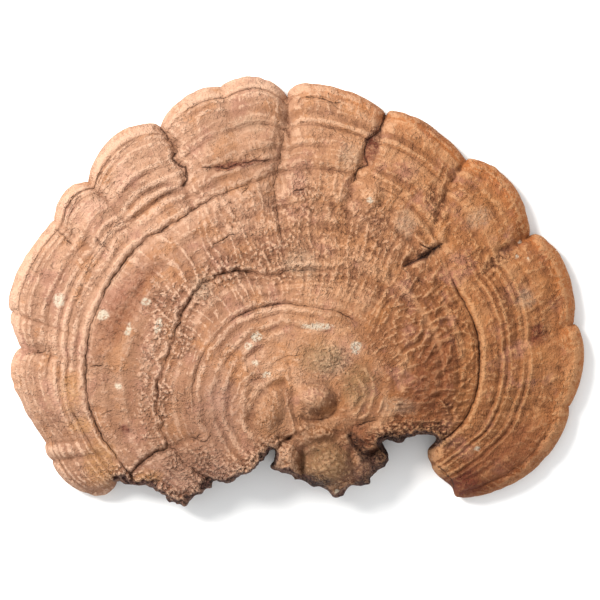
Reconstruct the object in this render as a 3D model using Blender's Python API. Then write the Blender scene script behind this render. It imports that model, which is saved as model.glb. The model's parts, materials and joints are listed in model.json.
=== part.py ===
"""Artist's conk: one dried bracket fungus lying on its pore surface, as one closed solid.

Plan sizes are millimetres about the growth centre, where the bracket grew from the trunk.
Angles are degrees anticlockwise from +X about that centre. A growth level counts the main zones
outwards: 0 at the growth centre, 1, 2 and 3 at three main growth rings, 4 at the margin.
"""
import math

import bmesh
import bpy
import numpy as np
from mathutils import Vector
from mathutils.geometry import delaunay_2d_cdt

MM = 0.001
NODE = "conk"
GROWTH_CENTRE = (7.1, -67.3)
FAN_WIDTH = 300.0

# The margin's lobes from the left corner to the hook: the angle and radius where the lobe starts,
# how far it bulges past the chord to the next start, and where along it the bulge is highest.
MARGIN_LOBES = (
    (198.0, 122.5, 3.0, 0.45),
    (189.0, 136.0, 1.5, 0.50),
    (185.0, 138.0, 7.5, 0.68),
    (166.0, 155.0, 2.3, 0.60),
    (160.0, 165.0, 4.6, 0.32),
    (142.0, 169.0, 5.4, 0.55),
    (133.0, 170.0, 8.8, 0.55),
    (117.0, 172.0, 4.6, 0.50),
    (105.0, 180.0, 7.8, 0.58),
    (94.0, 168.0, 8.8, 0.30),
    (76.0, 164.0, 5.0, 0.30),
    (59.0, 158.0, 8.6, 0.45),
    (40.0, 149.0, 8.0, 0.35),
    (20.0, 146.0, 5.0, 0.40),
    (3.0, 135.0, 9.0, 0.50),
)
HOOK_TIP = (-28.0, 86.0)
LOBE_SQUARENESS = 0.7

# The rest of the outline, about the growth centre, from the hook back to the left corner.
HOOK_SIDE = (
    (76.0, -40.0), (73.0, -34.5), (67.5, -30.0), (63.5, -25.0), (61.5, -20.0), (61.5, -15.5),
    (63.5, -12.0),
)
RIGHT_BREAK = (
    (66.0, -9.0), (62.5, -6.2), (57.0, -7.3), (52.0, -8.5), (47.0, -12.0), (44.0, -12.0),
    (40.5, -9.5), (36.5, -10.5),
)
ROOT_EDGE = (
    (39.0, -14.5), (41.5, -18.0), (39.0, -23.5), (33.0, -27.0), (31.5, -31.0), (33.5, -33.3),
    (26.0, -33.8), (22.5, -32.8), (18.0, -35.5), (15.5, -39.0), (12.0, -40.6), (10.0, -37.5),
    (8.0, -34.5), (4.0, -33.8), (1.0, -34.8), (-1.5, -32.3), (-5.0, -31.2), (-9.5, -28.6),
    (-13.0, -27.0), (-17.0, -26.0), (-21.0, -24.5), (-19.3, -21.8), (-17.8, -18.0),
    (-18.4, -14.2),
)
LEFT_BREAK = (
    (-20.3, -14.6), (-23.5, -19.2), (-27.0, -22.5), (-29.5, -26.0), (-35.0, -28.2),
    (-38.0, -30.2), (-42.5, -31.8), (-49.5, -31.2), (-51.0, -33.8), (-54.5, -36.5),
    (-59.0, -39.0), (-62.0, -42.5), (-65.0, -44.7), (-68.5, -43.3), (-74.0, -41.5),
    (-75.5, -39.0), (-80.5, -35.5), (-86.0, -34.3), (-92.5, -33.3), (-98.0, -32.2),
    (-100.3, -31.8),
)
LEFT_CORNER = ((-101.3, -36.0), (-106.5, -39.0), (-112.0, -39.6))

# Radii of the three main growth rings at these angles.
RING_ANGLES = (-28, -15, 0, 15, 30, 45, 60, 75, 90, 105, 120, 135, 150, 165, 180, 195, 214)
INNER_RING = (22, 29, 38, 46, 52, 55, 56, 58, 59, 62, 65, 65, 65, 63, 58, 54, 47)
ROPE_RING = (38, 48, 60, 70, 76, 80, 80, 80, 77, 77, 87, 87, 81, 80, 77, 70, 57)
MAIN_RING = (55, 62, 79, 90, 99, 104, 119, 126, 130, 127, 124, 126, 124, 120, 111, 98, 82)
MARGIN_LEVEL = 4.0
REAR_ANGLE = -125.0

# Grooves between the growth zones: level, depth, width, and the angles they run between.
GROOVES = (
    (0.53, 1.5, 2.2, 120, 215), (0.70, 1.8, 2.0, 110, 215), (0.81, 1.5, 1.7, 120, 215),
    (0.92, 1.4, 1.7, 100, 215), (0.62, 0.9, 2.2, 40, 110), (1.00, 2.4, 2.2, 55, 165),
    (1.45, 0.7, 2.4, 120, 215), (1.70, 0.8, 2.4, 60, 215), (1.92, 2.0, 2.2, 70, 215),
    (2.10, 1.8, 2.2, 95, 215), (2.00, 1.4, 2.4, -20, 70), (2.42, 1.1, 2.6, -20, 215),
    (2.66, 1.2, 2.6, -20, 215), (2.86, 1.0, 2.2, -20, 70), (3.00, 3.6, 2.4, 104, 215),
    (3.00, 1.5, 2.4, 46, 104), (3.00, 3.4, 2.2, -28, 46), (3.13, 1.5, 1.9, 95, 175),
    (3.26, 2.2, 2.2, 88, 205), (3.24, 2.5, 2.2, -28, 42), (3.36, 1.9, 2.0, 120, 205),
    (3.36, 2.3, 2.1, -28, 42), (3.52, 1.7, 2.2, 60, 195), (3.52, 2.3, 2.5, -28, 42),
    (3.68, 0.9, 2.4, -28, 198), (3.86, 1.6, 2.0, -28, 198),
)
GROOVE_FADE = 9.0

# Radial furrows that run in from the notches, about the growth centre: depth, half width, points.
FURROWS = (
    (1.2, 2.2, ((-115.5, 125.5), (-112.0, 119.5), (-101.5, 111.0), (-93.5, 99.0))),
    (2.3, 2.2, ((-79.0, 152.0), (-75.5, 150.0), (-69.0, 141.5), (-70.0, 137.0), (-65.0, 131.0),
                (-64.5, 119.5), (-62.5, 114.5), (-57.0, 97.0))),
    (3.2, 4.6, ((-11.5, 166.5), (-10.5, 158.5), (-14.0, 145.5), (-16.0, 135.0), (-18.0, 119.5),
                (-18.5, 114.5), (-16.5, 93.5))),
    (3.4, 4.2, ((40.0, 158.0), (38.5, 153.5), (32.0, 143.0), (29.0, 139.5), (25.0, 129.0),
                (22.0, 124.0), (21.0, 114.5), (20.0, 93.5))),
    (2.2, 3.0, ((80.5, 134.5), (75.5, 128.5), (72.5, 122.0), (67.5, 109.0), (62.5, 97.5),
                (54.5, 91.0))),
    (2.2, 3.0, ((114.0, 95.5), (106.5, 92.0), (99.0, 87.5), (94.5, 80.5), (84.0, 72.0))),
    (1.3, 3.0, ((137.0, 49.5), (130.0, 47.0), (122.0, 45.0))),
    (1.8, 2.4, ((71.0, 93.0), (66.0, 88.5), (60.0, 86.0), (52.0, 82.0), (44.0, 75.5),
                (36.5, 70.0))),
    (1.2, 2.2, ((-150.0, 36.5), (-135.0, 37.5), (-125.0, 36.0))),
    (1.8, 1.9, ((-92.5, -29.5), (-86.0, -21.0), (-78.0, -15.5), (-60.0, -8.5), (-49.5, -5.0))),
)
FURROW_TAPER = 22.0

# Height of the upper face at each growth level, before any relief.
DOME_LEVELS = (0.0, 0.5, 1.0, 1.5, 2.0, 2.5, 3.0, 3.5, 4.0)
DOME_HEIGHTS = (40.0, 39.0, 37.0, 34.5, 31.5, 28.5, 25.0, 20.0, 14.0)
LOBE_CROWN_HEIGHT = 2.4
SWELL_HEIGHT = 1.3
SWELL_LENGTH = 34.0
WRINKLE_HEIGHT = 2.0
WRINKLE_WIDTH = 10.0
WRINKLE_LENGTH = 30.0

# The fold where the fan meets the knobs that held it to the trunk, about the growth centre.
ROOT_FOLD = ((-20.3, -14.0), (-14.0, -8.5), (-5.0, -3.5), (8.0, -3.0), (18.5, -4.5),
             (22.0, -10.5), (27.5, -15.5), (37.0, -10.3))
FOLD_FALL = 2.6

# Knobs and rolls at the root: centre, two radii, turn in degrees, top height, height of the rim.
KNOBS = (
    ((3.5, 12.0), (11.5, 10.0), 0, 47.0, 35.0),
    ((-20.0, 4.0), (11.5, 19.0), -18, 44.5, 33.0),
    ((1.5, -5.0), (13.0, 9.0), 0, 41.5, 30.0),
    ((-12.0, -17.0), (8.0, 11.0), 8, 38.5, 26.0),
    ((9.5, -22.0), (15.0, 13.5), 10, 46.0, 28.0),
    ((23.0, -18.0), (8.5, 14.5), 20, 36.5, 25.0),
    ((27.5, -30.0), (7.0, 4.5), 0, 27.5, 21.0),
    ((36.0, -19.5), (6.5, 7.5), 0, 28.5, 21.0),
    ((12.5, -36.5), (4.5, 4.5), 0, 27.5, 21.0),
    ((-1.5, -29.0), (8.0, 4.5), 0, 28.0, 21.0),
    ((-15.5, -23.0), (6.0, 4.5), 0, 27.0, 21.0),
    ((31.5, 115.0), (6.0, 6.0), 0, 29.5, 25.5),
    ((23.5, 109.0), (4.5, 5.5), 20, 29.0, 25.5),
)
KNOB_BLEND = 0.9
ROOT_FLOOR = 23.0

# The edge of each stretch of outline: how wide it is rounded above and below its widest line, the
# height of that line, and how far in from the outline the upper and lower faces start.
ROUND_ABOVE, WIDEST, ROUND_BELOW, INSET_ABOVE, INSET_BELOW = range(5)
EDGE_SHAPES = {
    "margin": (7.0, 5.5, 5.0, 2.2, 2.0),
    "break": (1.8, 15.0, 4.0, 0.7, 1.2),
    "root": (2.6, 20.0, 4.0, 0.9, 1.2),
}

# The flat cut at the root, a plane across Y under the overhanging knobs.
CUT_PLANE = -28.0
CUT_HEIGHT = 18.0
CUT_ENDS = (-9.0, 31.0)
CUT_FOOT = 6.0

# Where the mesh has its points: along the outline, on the growth rings and round the knobs.
MARGIN_STEP = 3.4
BREAK_STEP = 3.6
FURROW_STEP = 5.0
OUTER_ROWS = (2.86, 2.94, 3.0, 3.06, 3.13, 3.19, 3.25, 3.31, 3.36, 3.44, 3.52, 3.60, 3.68,
              3.77, 3.86, 3.93)
MIDDLE_ROWS = (1.0, 1.07, 1.2, 1.45, 1.7, 1.84, 1.92, 2.01, 2.1, 2.25, 2.42, 2.54, 2.66, 2.76)
INNER_ROWS = (0.2, 0.4, 0.53, 0.62, 0.70, 0.755, 0.81, 0.865, 0.92, 0.96)
COLUMN_ANGLE = 1.9
KNOB_RINGS = (0.0, 0.35, 0.65, 0.88, 1.06)
KNOB_SPOKES = 14
POINT_GAP = 1.9
RING_GAP = 1.2
EDGE_GAP = 1.6
LOWER_STEP = 24.0
LOWER_GAP = 9.0
SHARP_ANGLE = 18.0

CONK_COLOUR = (0.49, 0.26, 0.13, 1.0)
CONK_ROUGHNESS = 0.9


def clear_scene():
    """Remove every object that the file opened with."""
    for item in list(bpy.data.objects):
        bpy.data.objects.remove(item, do_unlink=True)


def hash_lattice(column, row, seed):
    """Give each lattice corner a fixed value between -1 and 1."""
    mixed = np.sin(column * 127.1 + row * 311.7 + seed * 74.7) * 43758.5453
    return 2.0 * (mixed - np.floor(mixed)) - 1.0


def noise(x, y, seed):
    """Smooth value noise of one unit wavelength."""
    column, row = np.floor(x), np.floor(y)
    u, v = x - column, y - row
    u, v = u * u * (3.0 - 2.0 * u), v * v * (3.0 - 2.0 * v)
    low = hash_lattice(column, row, seed) * (1.0 - u) + hash_lattice(column + 1, row, seed) * u
    high = (hash_lattice(column, row + 1, seed) * (1.0 - u)
            + hash_lattice(column + 1, row + 1, seed) * u)
    return low * (1.0 - v) + high * v


def smooth_step(low, high, value):
    """Rise smoothly from 0 at low to 1 at high."""
    t = np.clip((value - low) / (high - low), 0.0, 1.0)
    return t * t * (3.0 - 2.0 * t)


def smooth_table(x, stations, values):
    """Read a table along one cubic curve through its values."""
    stations = np.asarray(stations, float)
    values = np.asarray(values, float)
    slopes = np.gradient(values, stations)
    x = np.clip(x, stations[0], stations[-1])
    i = np.clip(np.searchsorted(stations, x) - 1, 0, len(stations) - 2)
    span = stations[i + 1] - stations[i]
    t = (x - stations[i]) / span
    start = (1.0 + 2.0 * t) * (1.0 - t) ** 2 * values[i] + t * (1.0 - t) ** 2 * span * slopes[i]
    end = t * t * (3.0 - 2.0 * t) * values[i + 1] - t * t * (1.0 - t) * span * slopes[i + 1]
    return start + end


def lobe_bulge(t, peak):
    """Bulge of a lobe at t along its chord, 1 at the peak and 0 at both notches."""
    turned = np.clip(t, 0.0, 1.0) ** (math.log(0.5) / math.log(peak))
    return np.abs(np.sin(math.pi * turned)) ** LOBE_SQUARENESS


def margin_lobes(angle):
    """Radius of the margin at each angle, and the bulge from 0 to 1 of the lobe there."""
    starts = [lobe[:2] for lobe in MARGIN_LOBES] + [HOOK_TIP]
    radius = np.full_like(angle, MARGIN_LOBES[0][1])
    bulge = np.zeros_like(angle)
    for index, (start, first, crown, peak) in enumerate(MARGIN_LOBES):
        end, last = starts[index + 1]
        t = (start - angle) / (start - end)
        here = t >= 0.0
        shape = lobe_bulge(t, peak)
        radius = np.where(here, first + (last - first) * np.minimum(t, 1.0) + crown * shape, radius)
        bulge = np.where(here, shape, bulge)
    return radius, bulge


def polar(points):
    """Angle and radius about the growth centre, with the jump in angle behind the root."""
    angle = np.degrees(np.arctan2(points[:, 1], points[:, 0]))
    angle = np.where(angle < REAR_ANGLE, angle + 360.0, angle)
    return angle, np.hypot(points[:, 0], points[:, 1])


def ring_radii(angle):
    """Radius of each whole growth level at each angle."""
    tables = [smooth_table(angle, RING_ANGLES, ring) for ring in (INNER_RING, ROPE_RING, MAIN_RING)]
    return [np.zeros_like(angle), *tables, margin_lobes(angle)[0]]


def level_radius(angle, level):
    """Radius of one growth level at each angle."""
    radii = ring_radii(angle)
    lower = min(int(level), len(radii) - 2)
    return radii[lower] + (radii[lower + 1] - radii[lower]) * (level - lower)


def growth_level(angle, radius):
    """Growth level of each point."""
    radii = ring_radii(angle)
    level = np.zeros_like(radius)
    for lower in range(len(radii) - 1):
        t = (radius - radii[lower]) / np.maximum(radii[lower + 1] - radii[lower], 1.0)
        level = np.where(t > 0.0, lower + t, level)
    return np.minimum(level, MARGIN_LEVEL)


def on_ring(angle, level):
    """Points where each angle meets one growth level."""
    radius = level_radius(angle, level)
    return np.stack([radius * np.cos(np.radians(angle)), radius * np.sin(np.radians(angle))], 1)


def resample(points, step):
    """Points evenly spaced along a line, with both of its ends."""
    points = np.asarray(points, float)
    lengths = np.hypot(*np.diff(points, axis=0).T)
    along = np.concatenate([[0.0], np.cumsum(lengths)])
    count = max(2, round(along[-1] / step) + 1)
    places = np.linspace(0.0, along[-1], count)
    return np.stack([np.interp(places, along, points[:, axis]) for axis in (0, 1)], 1)


def margin_line():
    """The lobed margin from the left corner to the hook, with a point in every notch."""
    starts = [lobe[0] for lobe in MARGIN_LOBES] + [HOOK_TIP[0]]
    line = []
    for first, last in zip(starts, starts[1:]):
        angle = np.linspace(first, last, 90)[:-1]
        line.append(resample(on_ring(angle, MARGIN_LEVEL), MARGIN_STEP)[:-1])
        line.append(on_ring(np.array([last + 0.04 * (first - last)]), MARGIN_LEVEL))
    return np.concatenate(line)


def outline():
    """The whole outline, clockwise from the left corner, and the edge shape of each point."""
    hook_side, right_break = np.array(HOOK_SIDE), np.array(RIGHT_BREAK)
    stretches = (
        ("margin", margin_line()),
        ("margin", resample(hook_side, BREAK_STEP)),
        ("break", resample(right_break, BREAK_STEP)),
        ("root", np.array(ROOT_EDGE)),
        ("break", resample(LEFT_BREAK, BREAK_STEP)),
        ("margin", np.array(LEFT_CORNER)),
    )
    points = np.concatenate([line for _, line in stretches])
    shapes = np.concatenate([np.tile(EDGE_SHAPES[kind], (len(line), 1)) for kind, line in stretches])
    return points, shapes


def segment_distance(points, start, end):
    """Distance of each point from one straight segment, and how far along it that is."""
    run = end - start
    t = np.clip(((points - start) @ run) / max(run @ run, 1e-9), 0.0, 1.0)
    return np.hypot(*(points - start - t[:, None] * run).T), t


def line_distance(points, line):
    """Distance of each point from a line of segments, and the length along the line there."""
    line = np.asarray(line, float)
    best = np.full(len(points), 1e9)
    along = np.zeros(len(points))
    travelled = 0.0
    for start, end in zip(line, line[1:]):
        distance, t = segment_distance(points, start, end)
        length = math.hypot(*(end - start))
        nearer = distance < best
        along = np.where(nearer, travelled + t * length, along)
        best = np.where(nearer, distance, best)
        travelled += length
    return best, along


def edge_at(points, loop, values):
    """Distance from the outline, and the edge shape at the nearest point of it."""
    best = np.full(len(points), 1e9)
    shape = np.zeros((len(points), values.shape[1]))
    for index in range(len(loop)):
        follow = (index + 1) % len(loop)
        distance, t = segment_distance(points, loop[index], loop[follow])
        nearer = distance < best
        mixed = values[index] * (1.0 - t[:, None]) + values[follow] * t[:, None]
        shape = np.where(nearer[:, None], mixed, shape)
        best = np.where(nearer, distance, best)
    return best, shape


def inside(points, loop):
    """Whether each point lies inside a closed loop."""
    hit = np.zeros(len(points), bool)
    for start, end in zip(loop, np.roll(loop, -1, axis=0)):
        crosses = (start[1] > points[:, 1]) != (end[1] > points[:, 1])
        rise = end[1] - start[1]
        reach = start[0] + (points[:, 1] - start[1]) * (end[0] - start[0]) / (rise or 1e-9)
        hit ^= crosses & (points[:, 0] < reach)
    return hit


def groove_depth(angle, radius):
    """How far the growth grooves sink the upper face."""
    sunk = np.zeros_like(radius)
    for level, depth, width, start, end in GROOVES:
        across = np.abs(radius - level_radius(angle, level)) / width
        runs = (smooth_step(start - GROOVE_FADE, start + GROOVE_FADE, angle)
                * (1.0 - smooth_step(end - GROOVE_FADE, end + GROOVE_FADE, angle)))
        wander = 0.75 + 0.35 * noise(angle / 6.0, np.full_like(angle, level * 7.0), 3)
        sunk += depth * wander * runs * np.exp(-across)
    return sunk


def furrow_depth(points):
    """How far the radial furrows sink the upper face."""
    sunk = np.zeros(len(points))
    for depth, half_width, line in FURROWS:
        distance, along = line_distance(points, line)
        total = np.hypot(*np.diff(np.array(line), axis=0).T).sum()
        fade = smooth_step(0.0, FURROW_TAPER, total - along)
        sunk += depth * fade * np.exp(-(distance / half_width) ** 2)
    return sunk


def fan_height(points):
    """Height of the fan's upper face: its dome, lobes, grooves, furrows and wrinkles."""
    angle, radius = polar(points)
    level = growth_level(angle, radius)
    height = smooth_table(level, DOME_LEVELS, DOME_HEIGHTS)
    lobed = smooth_step(2.9, 3.8, level)
    height += LOBE_CROWN_HEIGHT * lobed * (margin_lobes(angle)[1] - 0.75)
    height -= groove_depth(angle, radius) + furrow_depth(points)
    height += SWELL_HEIGHT * noise(points[:, 0] / SWELL_LENGTH, points[:, 1] / SWELL_LENGTH, 5)
    middle = smooth_step(1.1, 1.9, level) * (1.0 - smooth_step(2.9, 3.3, level))
    right = 1.0 - smooth_step(100.0, 150.0, angle)
    wrinkle = noise(np.radians(angle) * radius / WRINKLE_WIDTH, radius / WRINKLE_LENGTH, 11)
    return height + WRINKLE_HEIGHT * middle * (0.3 + 0.7 * right) * wrinkle


def knob_heights(points):
    """Height of every knob at each point, far below the fan where the knob isn't."""
    heights = []
    for centre, radii, turn, top, rim in KNOBS:
        offset = points - np.array(centre)
        cos, sin = math.cos(math.radians(turn)), math.sin(math.radians(turn))
        across = (offset[:, 0] * cos + offset[:, 1] * sin) / radii[0]
        along = (offset[:, 1] * cos - offset[:, 0] * sin) / radii[1]
        fullness = 1.0 - across ** 2 - along ** 2
        heights.append(rim + (top - rim) * np.where(fullness > 0.0, np.sqrt(np.abs(fullness)), fullness))
    return heights


def fan_side():
    """Loop round the fan's side of the root fold."""
    far = FAN_WIDTH
    around = ((60.0, -60.0), (far, -far), (far, far), (-far, far), (-far, -far), (-40.0, -60.0))
    return np.array(ROOT_FOLD + around)


def upper_height(points, loop, shapes):
    """Height of the upper face everywhere inside the outline, with its edge rounded."""
    fan = fan_height(points)
    fold, _ = line_distance(points, ROOT_FOLD)
    beyond = np.where(inside(points, fan_side()), 0.0, fold)
    fan = fan - (fan - ROOT_FLOOR) * smooth_step(0.0, FOLD_FALL, beyond)
    layers = np.stack([fan, *knob_heights(points)]) / KNOB_BLEND
    highest = layers.max(axis=0)
    body = KNOB_BLEND * (highest + np.log(np.exp(layers - highest).sum(axis=0)))
    distance, shape = edge_at(points, loop, shapes)
    inward = 1.0 - np.clip(distance / shape[:, ROUND_ABOVE], 0.0, 1.0)
    return shape[:, WIDEST] + (body - shape[:, WIDEST]) * np.sqrt(1.0 - inward * inward)


def lower_height(points, loop, shapes):
    """Height of the pore surface: flat, and rounded up at the edge."""
    distance, shape = edge_at(points, loop, shapes)
    inward = 1.0 - np.clip(distance / shape[:, ROUND_BELOW], 0.0, 1.0)
    return shape[:, WIDEST] * (1.0 - np.sqrt(1.0 - inward * inward))


def inward_normals(loop):
    """Unit normals of a clockwise loop that point to its inside."""
    ahead = np.roll(loop, -1, axis=0) - loop
    behind = loop - np.roll(loop, 1, axis=0)
    run = ahead / np.hypot(*ahead.T)[:, None] + behind / np.hypot(*behind.T)[:, None]
    normal = np.stack([run[:, 1], -run[:, 0]], 1)
    return normal / np.maximum(np.hypot(*normal.T), 1e-6)[:, None]


def near_cut(loop):
    """Which outline points stand over the flat cut at the root."""
    return (loop[:, 0] > CUT_ENDS[0]) & (loop[:, 0] < CUT_ENDS[1]) & (loop[:, 1] < CUT_PLANE)


def keep_apart(points, fixed, gap):
    """Drop the points that stand nearer to a fixed point than the gap."""
    kept = np.ones(len(points), bool)
    for place in fixed:
        kept &= np.hypot(*(points - place).T) > gap
    return points[kept]


def grid_points():
    """Points along the growth rings, fewer to a ring near the root."""
    starts = [lobe[0] for lobe in MARGIN_LOBES] + [HOOK_TIP[0]]
    columns = []
    for first, last in zip(starts, starts[1:]):
        count = 2 * max(1, round((first - last) / COLUMN_ANGLE / 2.0))
        columns.extend(np.linspace(first, last, count, endpoint=False))
    outer = np.array(columns + [HOOK_TIP[0]])
    beyond = np.arange(200.0, 222.0, 4.0)
    middle = np.concatenate([beyond[::-1], outer[::2]])
    inner = np.concatenate([beyond[::-1], outer[::4]])
    rings = [on_ring(outer, level) for level in OUTER_ROWS]
    rings += [on_ring(middle, level) for level in MIDDLE_ROWS]
    rings += [on_ring(inner, level) for level in INNER_ROWS]
    return np.concatenate(rings)


def furrow_points():
    """Points down the middle of each radial furrow."""
    return np.concatenate([resample(line, FURROW_STEP) for _, _, line in FURROWS])


def knob_points():
    """Points that ring each knob, for its dome and the fold round it."""
    points = []
    for centre, radii, turn, _, _ in KNOBS:
        spokes = np.arange(KNOB_SPOKES) * 2.0 * math.pi / KNOB_SPOKES
        for share in KNOB_RINGS:
            ring = np.stack([share * radii[0] * np.cos(spokes), share * radii[1] * np.sin(spokes)])
            cos, sin = math.cos(math.radians(turn)), math.sin(math.radians(turn))
            turned = np.array([[cos, -sin], [sin, cos]]) @ ring
            points.append(turned.T[:1 if share == 0.0 else None] + np.array(centre))
    return np.concatenate(points)


def thinned(points, gap):
    """Points in their order, without those nearer than the gap to one kept before."""
    kept = np.empty((0, 2))
    for place in points:
        if len(kept) == 0 or np.min(np.hypot(*(kept - place).T)) > gap:
            kept = np.vstack([kept, place])
    return kept


def upper_points(top_loop):
    """Every point of the upper face inside its boundary."""
    knobs = thinned(knob_points(), POINT_GAP)
    furrows = keep_apart(furrow_points(), knobs, POINT_GAP)
    rings = keep_apart(grid_points(), np.concatenate([knobs, furrows]), POINT_GAP)
    points = np.concatenate([knobs, furrows, thinned(rings, RING_GAP)])
    points = points[inside(points, top_loop)]
    distance, _ = line_distance(points, np.vstack([top_loop, top_loop[:1]]))
    return points[distance > EDGE_GAP]


def lower_points(bottom_loop):
    """A coarse grid of points for the flat pore surface."""
    steps = np.arange(-0.5 * FAN_WIDTH, 0.5 * FAN_WIDTH, LOWER_STEP)
    grid = np.array([(x, y) for x in steps for y in steps]) - np.array(GROWTH_CENTRE)
    grid = grid[inside(grid, bottom_loop)]
    distance, _ = line_distance(grid, np.vstack([bottom_loop, bottom_loop[:1]]))
    return grid[distance > LOWER_GAP]


def rounding_points(loop, shapes):
    """Points inside the outline where the lower edge's rounding ends."""
    places = loop + inward_normals(loop) * shapes[:, ROUND_BELOW, None] * 1.1
    places = thinned(places, BREAK_STEP)
    distance, shape = edge_at(places, loop, shapes)
    return places[inside(places, loop) & (distance > shape[:, ROUND_BELOW] * 0.9)]


def triangulate(loop, points):
    """Triangles that fill a loop through the points inside it, as indices of loop then points."""
    places = [Vector(place) for place in np.concatenate([loop, points])]
    edges = [(index, (index + 1) % len(loop)) for index in range(len(loop))]
    found, _, faces, origins, _, _ = delaunay_2d_cdt(places, edges, [], 1, 1e-7)
    if len(found) != len(places):
        raise ValueError("the loop crosses itself")
    return [tuple(origins[corner][0] for corner in face) for face in faces]


def stack_loops(loop, shapes):
    """The loops that wrap the edge, from the upper face's boundary to the lower face's."""
    normals = inward_normals(loop)
    cut = near_cut(loop)
    top = loop + normals * shapes[:, INSET_ABOVE, None]
    bottom = loop + normals * shapes[:, INSET_BELOW, None]
    bottom[cut] = np.stack([loop[cut, 0], np.full(cut.sum(), CUT_PLANE)], 1)
    upper = np.column_stack([top, upper_height(top, loop, shapes)])
    widest = np.column_stack([loop, shapes[:, WIDEST]])
    lower = np.column_stack([bottom, np.where(cut, 0.0, lower_height(bottom, loop, shapes))])
    shelf = np.column_stack([loop * 0.7 + bottom * 0.3, (widest[:, 2] + lower[:, 2]) / 2.0])
    shelf[cut] = np.column_stack([bottom[cut], np.full(cut.sum(), CUT_HEIGHT)])
    return upper, widest, shelf, lower


def wrap_faces(rows, count):
    """Triangles between closed rows of vertices that follow one another."""
    faces = []
    for row in range(rows - 1):
        for index in range(count):
            a = row * count + index
            b = row * count + (index + 1) % count
            faces += [[a, b, b + count], [a, b + count, a + count]]
    return faces


def conk_mesh():
    """The closed mesh: upper face, wrapped edge, cut and pore surface."""
    loop, shapes = outline()
    loops = stack_loops(loop, shapes)
    upper_loop, lower_loop = loops[0][:, :2], loops[-1][:, :2]
    upper_inner = upper_points(upper_loop)
    lower_inner = np.concatenate([rounding_points(loop, shapes), lower_points(lower_loop)])
    lower_inner = lower_inner[inside(lower_inner, lower_loop)]
    lower_z = lower_height(lower_inner, loop, shapes)
    lower_z[lower_inner[:, 1] < CUT_PLANE + CUT_FOOT] = 0.0
    vertices = np.concatenate([
        *loops,
        np.column_stack([upper_inner, upper_height(upper_inner, loop, shapes)]),
        np.column_stack([lower_inner, lower_z]),
    ])
    count = len(loop)
    last_row = count * (len(loops) - 1)
    first_upper = count * len(loops) - count
    first_lower = first_upper + len(upper_inner)
    faces = wrap_faces(len(loops), count)
    for face in triangulate(upper_loop, upper_inner):
        faces.append([i if i < count else i + first_upper for i in face])
    for face in triangulate(lower_loop, lower_inner):
        faces.append([i + (last_row if i < count else first_lower) for i in reversed(face)])
    return vertices, faces


def build_conk():
    """Make the conk as one mesh object, placed about the middle of its plan."""
    vertices, faces = conk_mesh()
    vertices[:, :2] += np.array(GROWTH_CENTRE)
    mesh = bpy.data.meshes.new(NODE)
    mesh.from_pydata((vertices * MM).tolist(), [], faces)
    body = bmesh.new()
    body.from_mesh(mesh)
    bmesh.ops.recalc_face_normals(body, faces=body.faces)
    body.to_mesh(mesh)
    body.free()
    mesh.shade_smooth()
    mesh.set_sharp_from_angle(angle=math.radians(SHARP_ANGLE))
    conk = bpy.data.objects.new(NODE, mesh)
    bpy.context.scene.collection.objects.link(conk)
    return conk


def dusty_crust():
    """Dry, dusty tan-brown crust."""
    material = bpy.data.materials.new("dusty_crust")
    material.use_nodes = True
    shader = material.node_tree.nodes["Principled BSDF"]
    shader.inputs["Base Color"].default_value = CONK_COLOUR
    shader.inputs["Roughness"].default_value = CONK_ROUGHNESS
    shader.inputs["Metallic"].default_value = 0.0
    return material


def main():
    """Build the conk and give it its material."""
    clear_scene()
    build_conk().data.materials.append(dusty_crust())


main()
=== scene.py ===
"""Looks of the artist's conk, a dried bracket fungus that lies on its pore surface.

Plan sizes are millimetres about the growth centre, where the bracket grew from the trunk.
Angles are degrees anticlockwise from +X about that centre. A growth level counts the main
zones outwards: 0 at the growth centre, 1, 2 and 3 at three main growth rings, 4 at the margin.
"""

import json
import logging
import math
from dataclasses import dataclass, field
from enum import Enum
from typing import Callable, Sequence

import bmesh
import bpy
import numpy as np
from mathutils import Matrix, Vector
from mathutils.geometry import delaunay_2d_cdt
from mathutils.kdtree import KDTree

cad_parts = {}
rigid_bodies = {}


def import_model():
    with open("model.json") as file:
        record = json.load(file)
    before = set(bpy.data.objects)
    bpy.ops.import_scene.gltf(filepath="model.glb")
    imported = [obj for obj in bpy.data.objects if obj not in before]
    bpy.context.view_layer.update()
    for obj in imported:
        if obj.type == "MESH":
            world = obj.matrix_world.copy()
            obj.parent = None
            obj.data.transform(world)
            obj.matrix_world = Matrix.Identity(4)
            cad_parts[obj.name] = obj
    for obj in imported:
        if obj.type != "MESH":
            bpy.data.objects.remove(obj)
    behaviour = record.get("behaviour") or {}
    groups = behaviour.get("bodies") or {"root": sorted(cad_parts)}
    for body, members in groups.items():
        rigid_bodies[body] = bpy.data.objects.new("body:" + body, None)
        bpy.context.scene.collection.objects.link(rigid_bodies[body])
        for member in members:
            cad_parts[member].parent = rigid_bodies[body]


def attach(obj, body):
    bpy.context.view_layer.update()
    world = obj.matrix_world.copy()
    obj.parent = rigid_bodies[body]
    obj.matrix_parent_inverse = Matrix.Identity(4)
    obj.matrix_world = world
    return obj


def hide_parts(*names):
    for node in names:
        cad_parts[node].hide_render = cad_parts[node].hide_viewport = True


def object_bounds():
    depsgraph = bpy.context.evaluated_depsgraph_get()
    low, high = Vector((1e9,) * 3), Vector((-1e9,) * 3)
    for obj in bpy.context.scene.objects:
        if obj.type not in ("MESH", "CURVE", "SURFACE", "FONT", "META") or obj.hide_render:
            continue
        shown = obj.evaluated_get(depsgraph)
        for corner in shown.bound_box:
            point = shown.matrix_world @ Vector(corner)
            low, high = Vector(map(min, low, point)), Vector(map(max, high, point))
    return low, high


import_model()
CAD_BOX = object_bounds()
LOG = logging.getLogger("conk")

MM = 0.001
Array = np.ndarray
Point = tuple[float, float]
Colour = tuple[float, float, float, float]
Socket = bpy.types.NodeSocket


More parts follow.
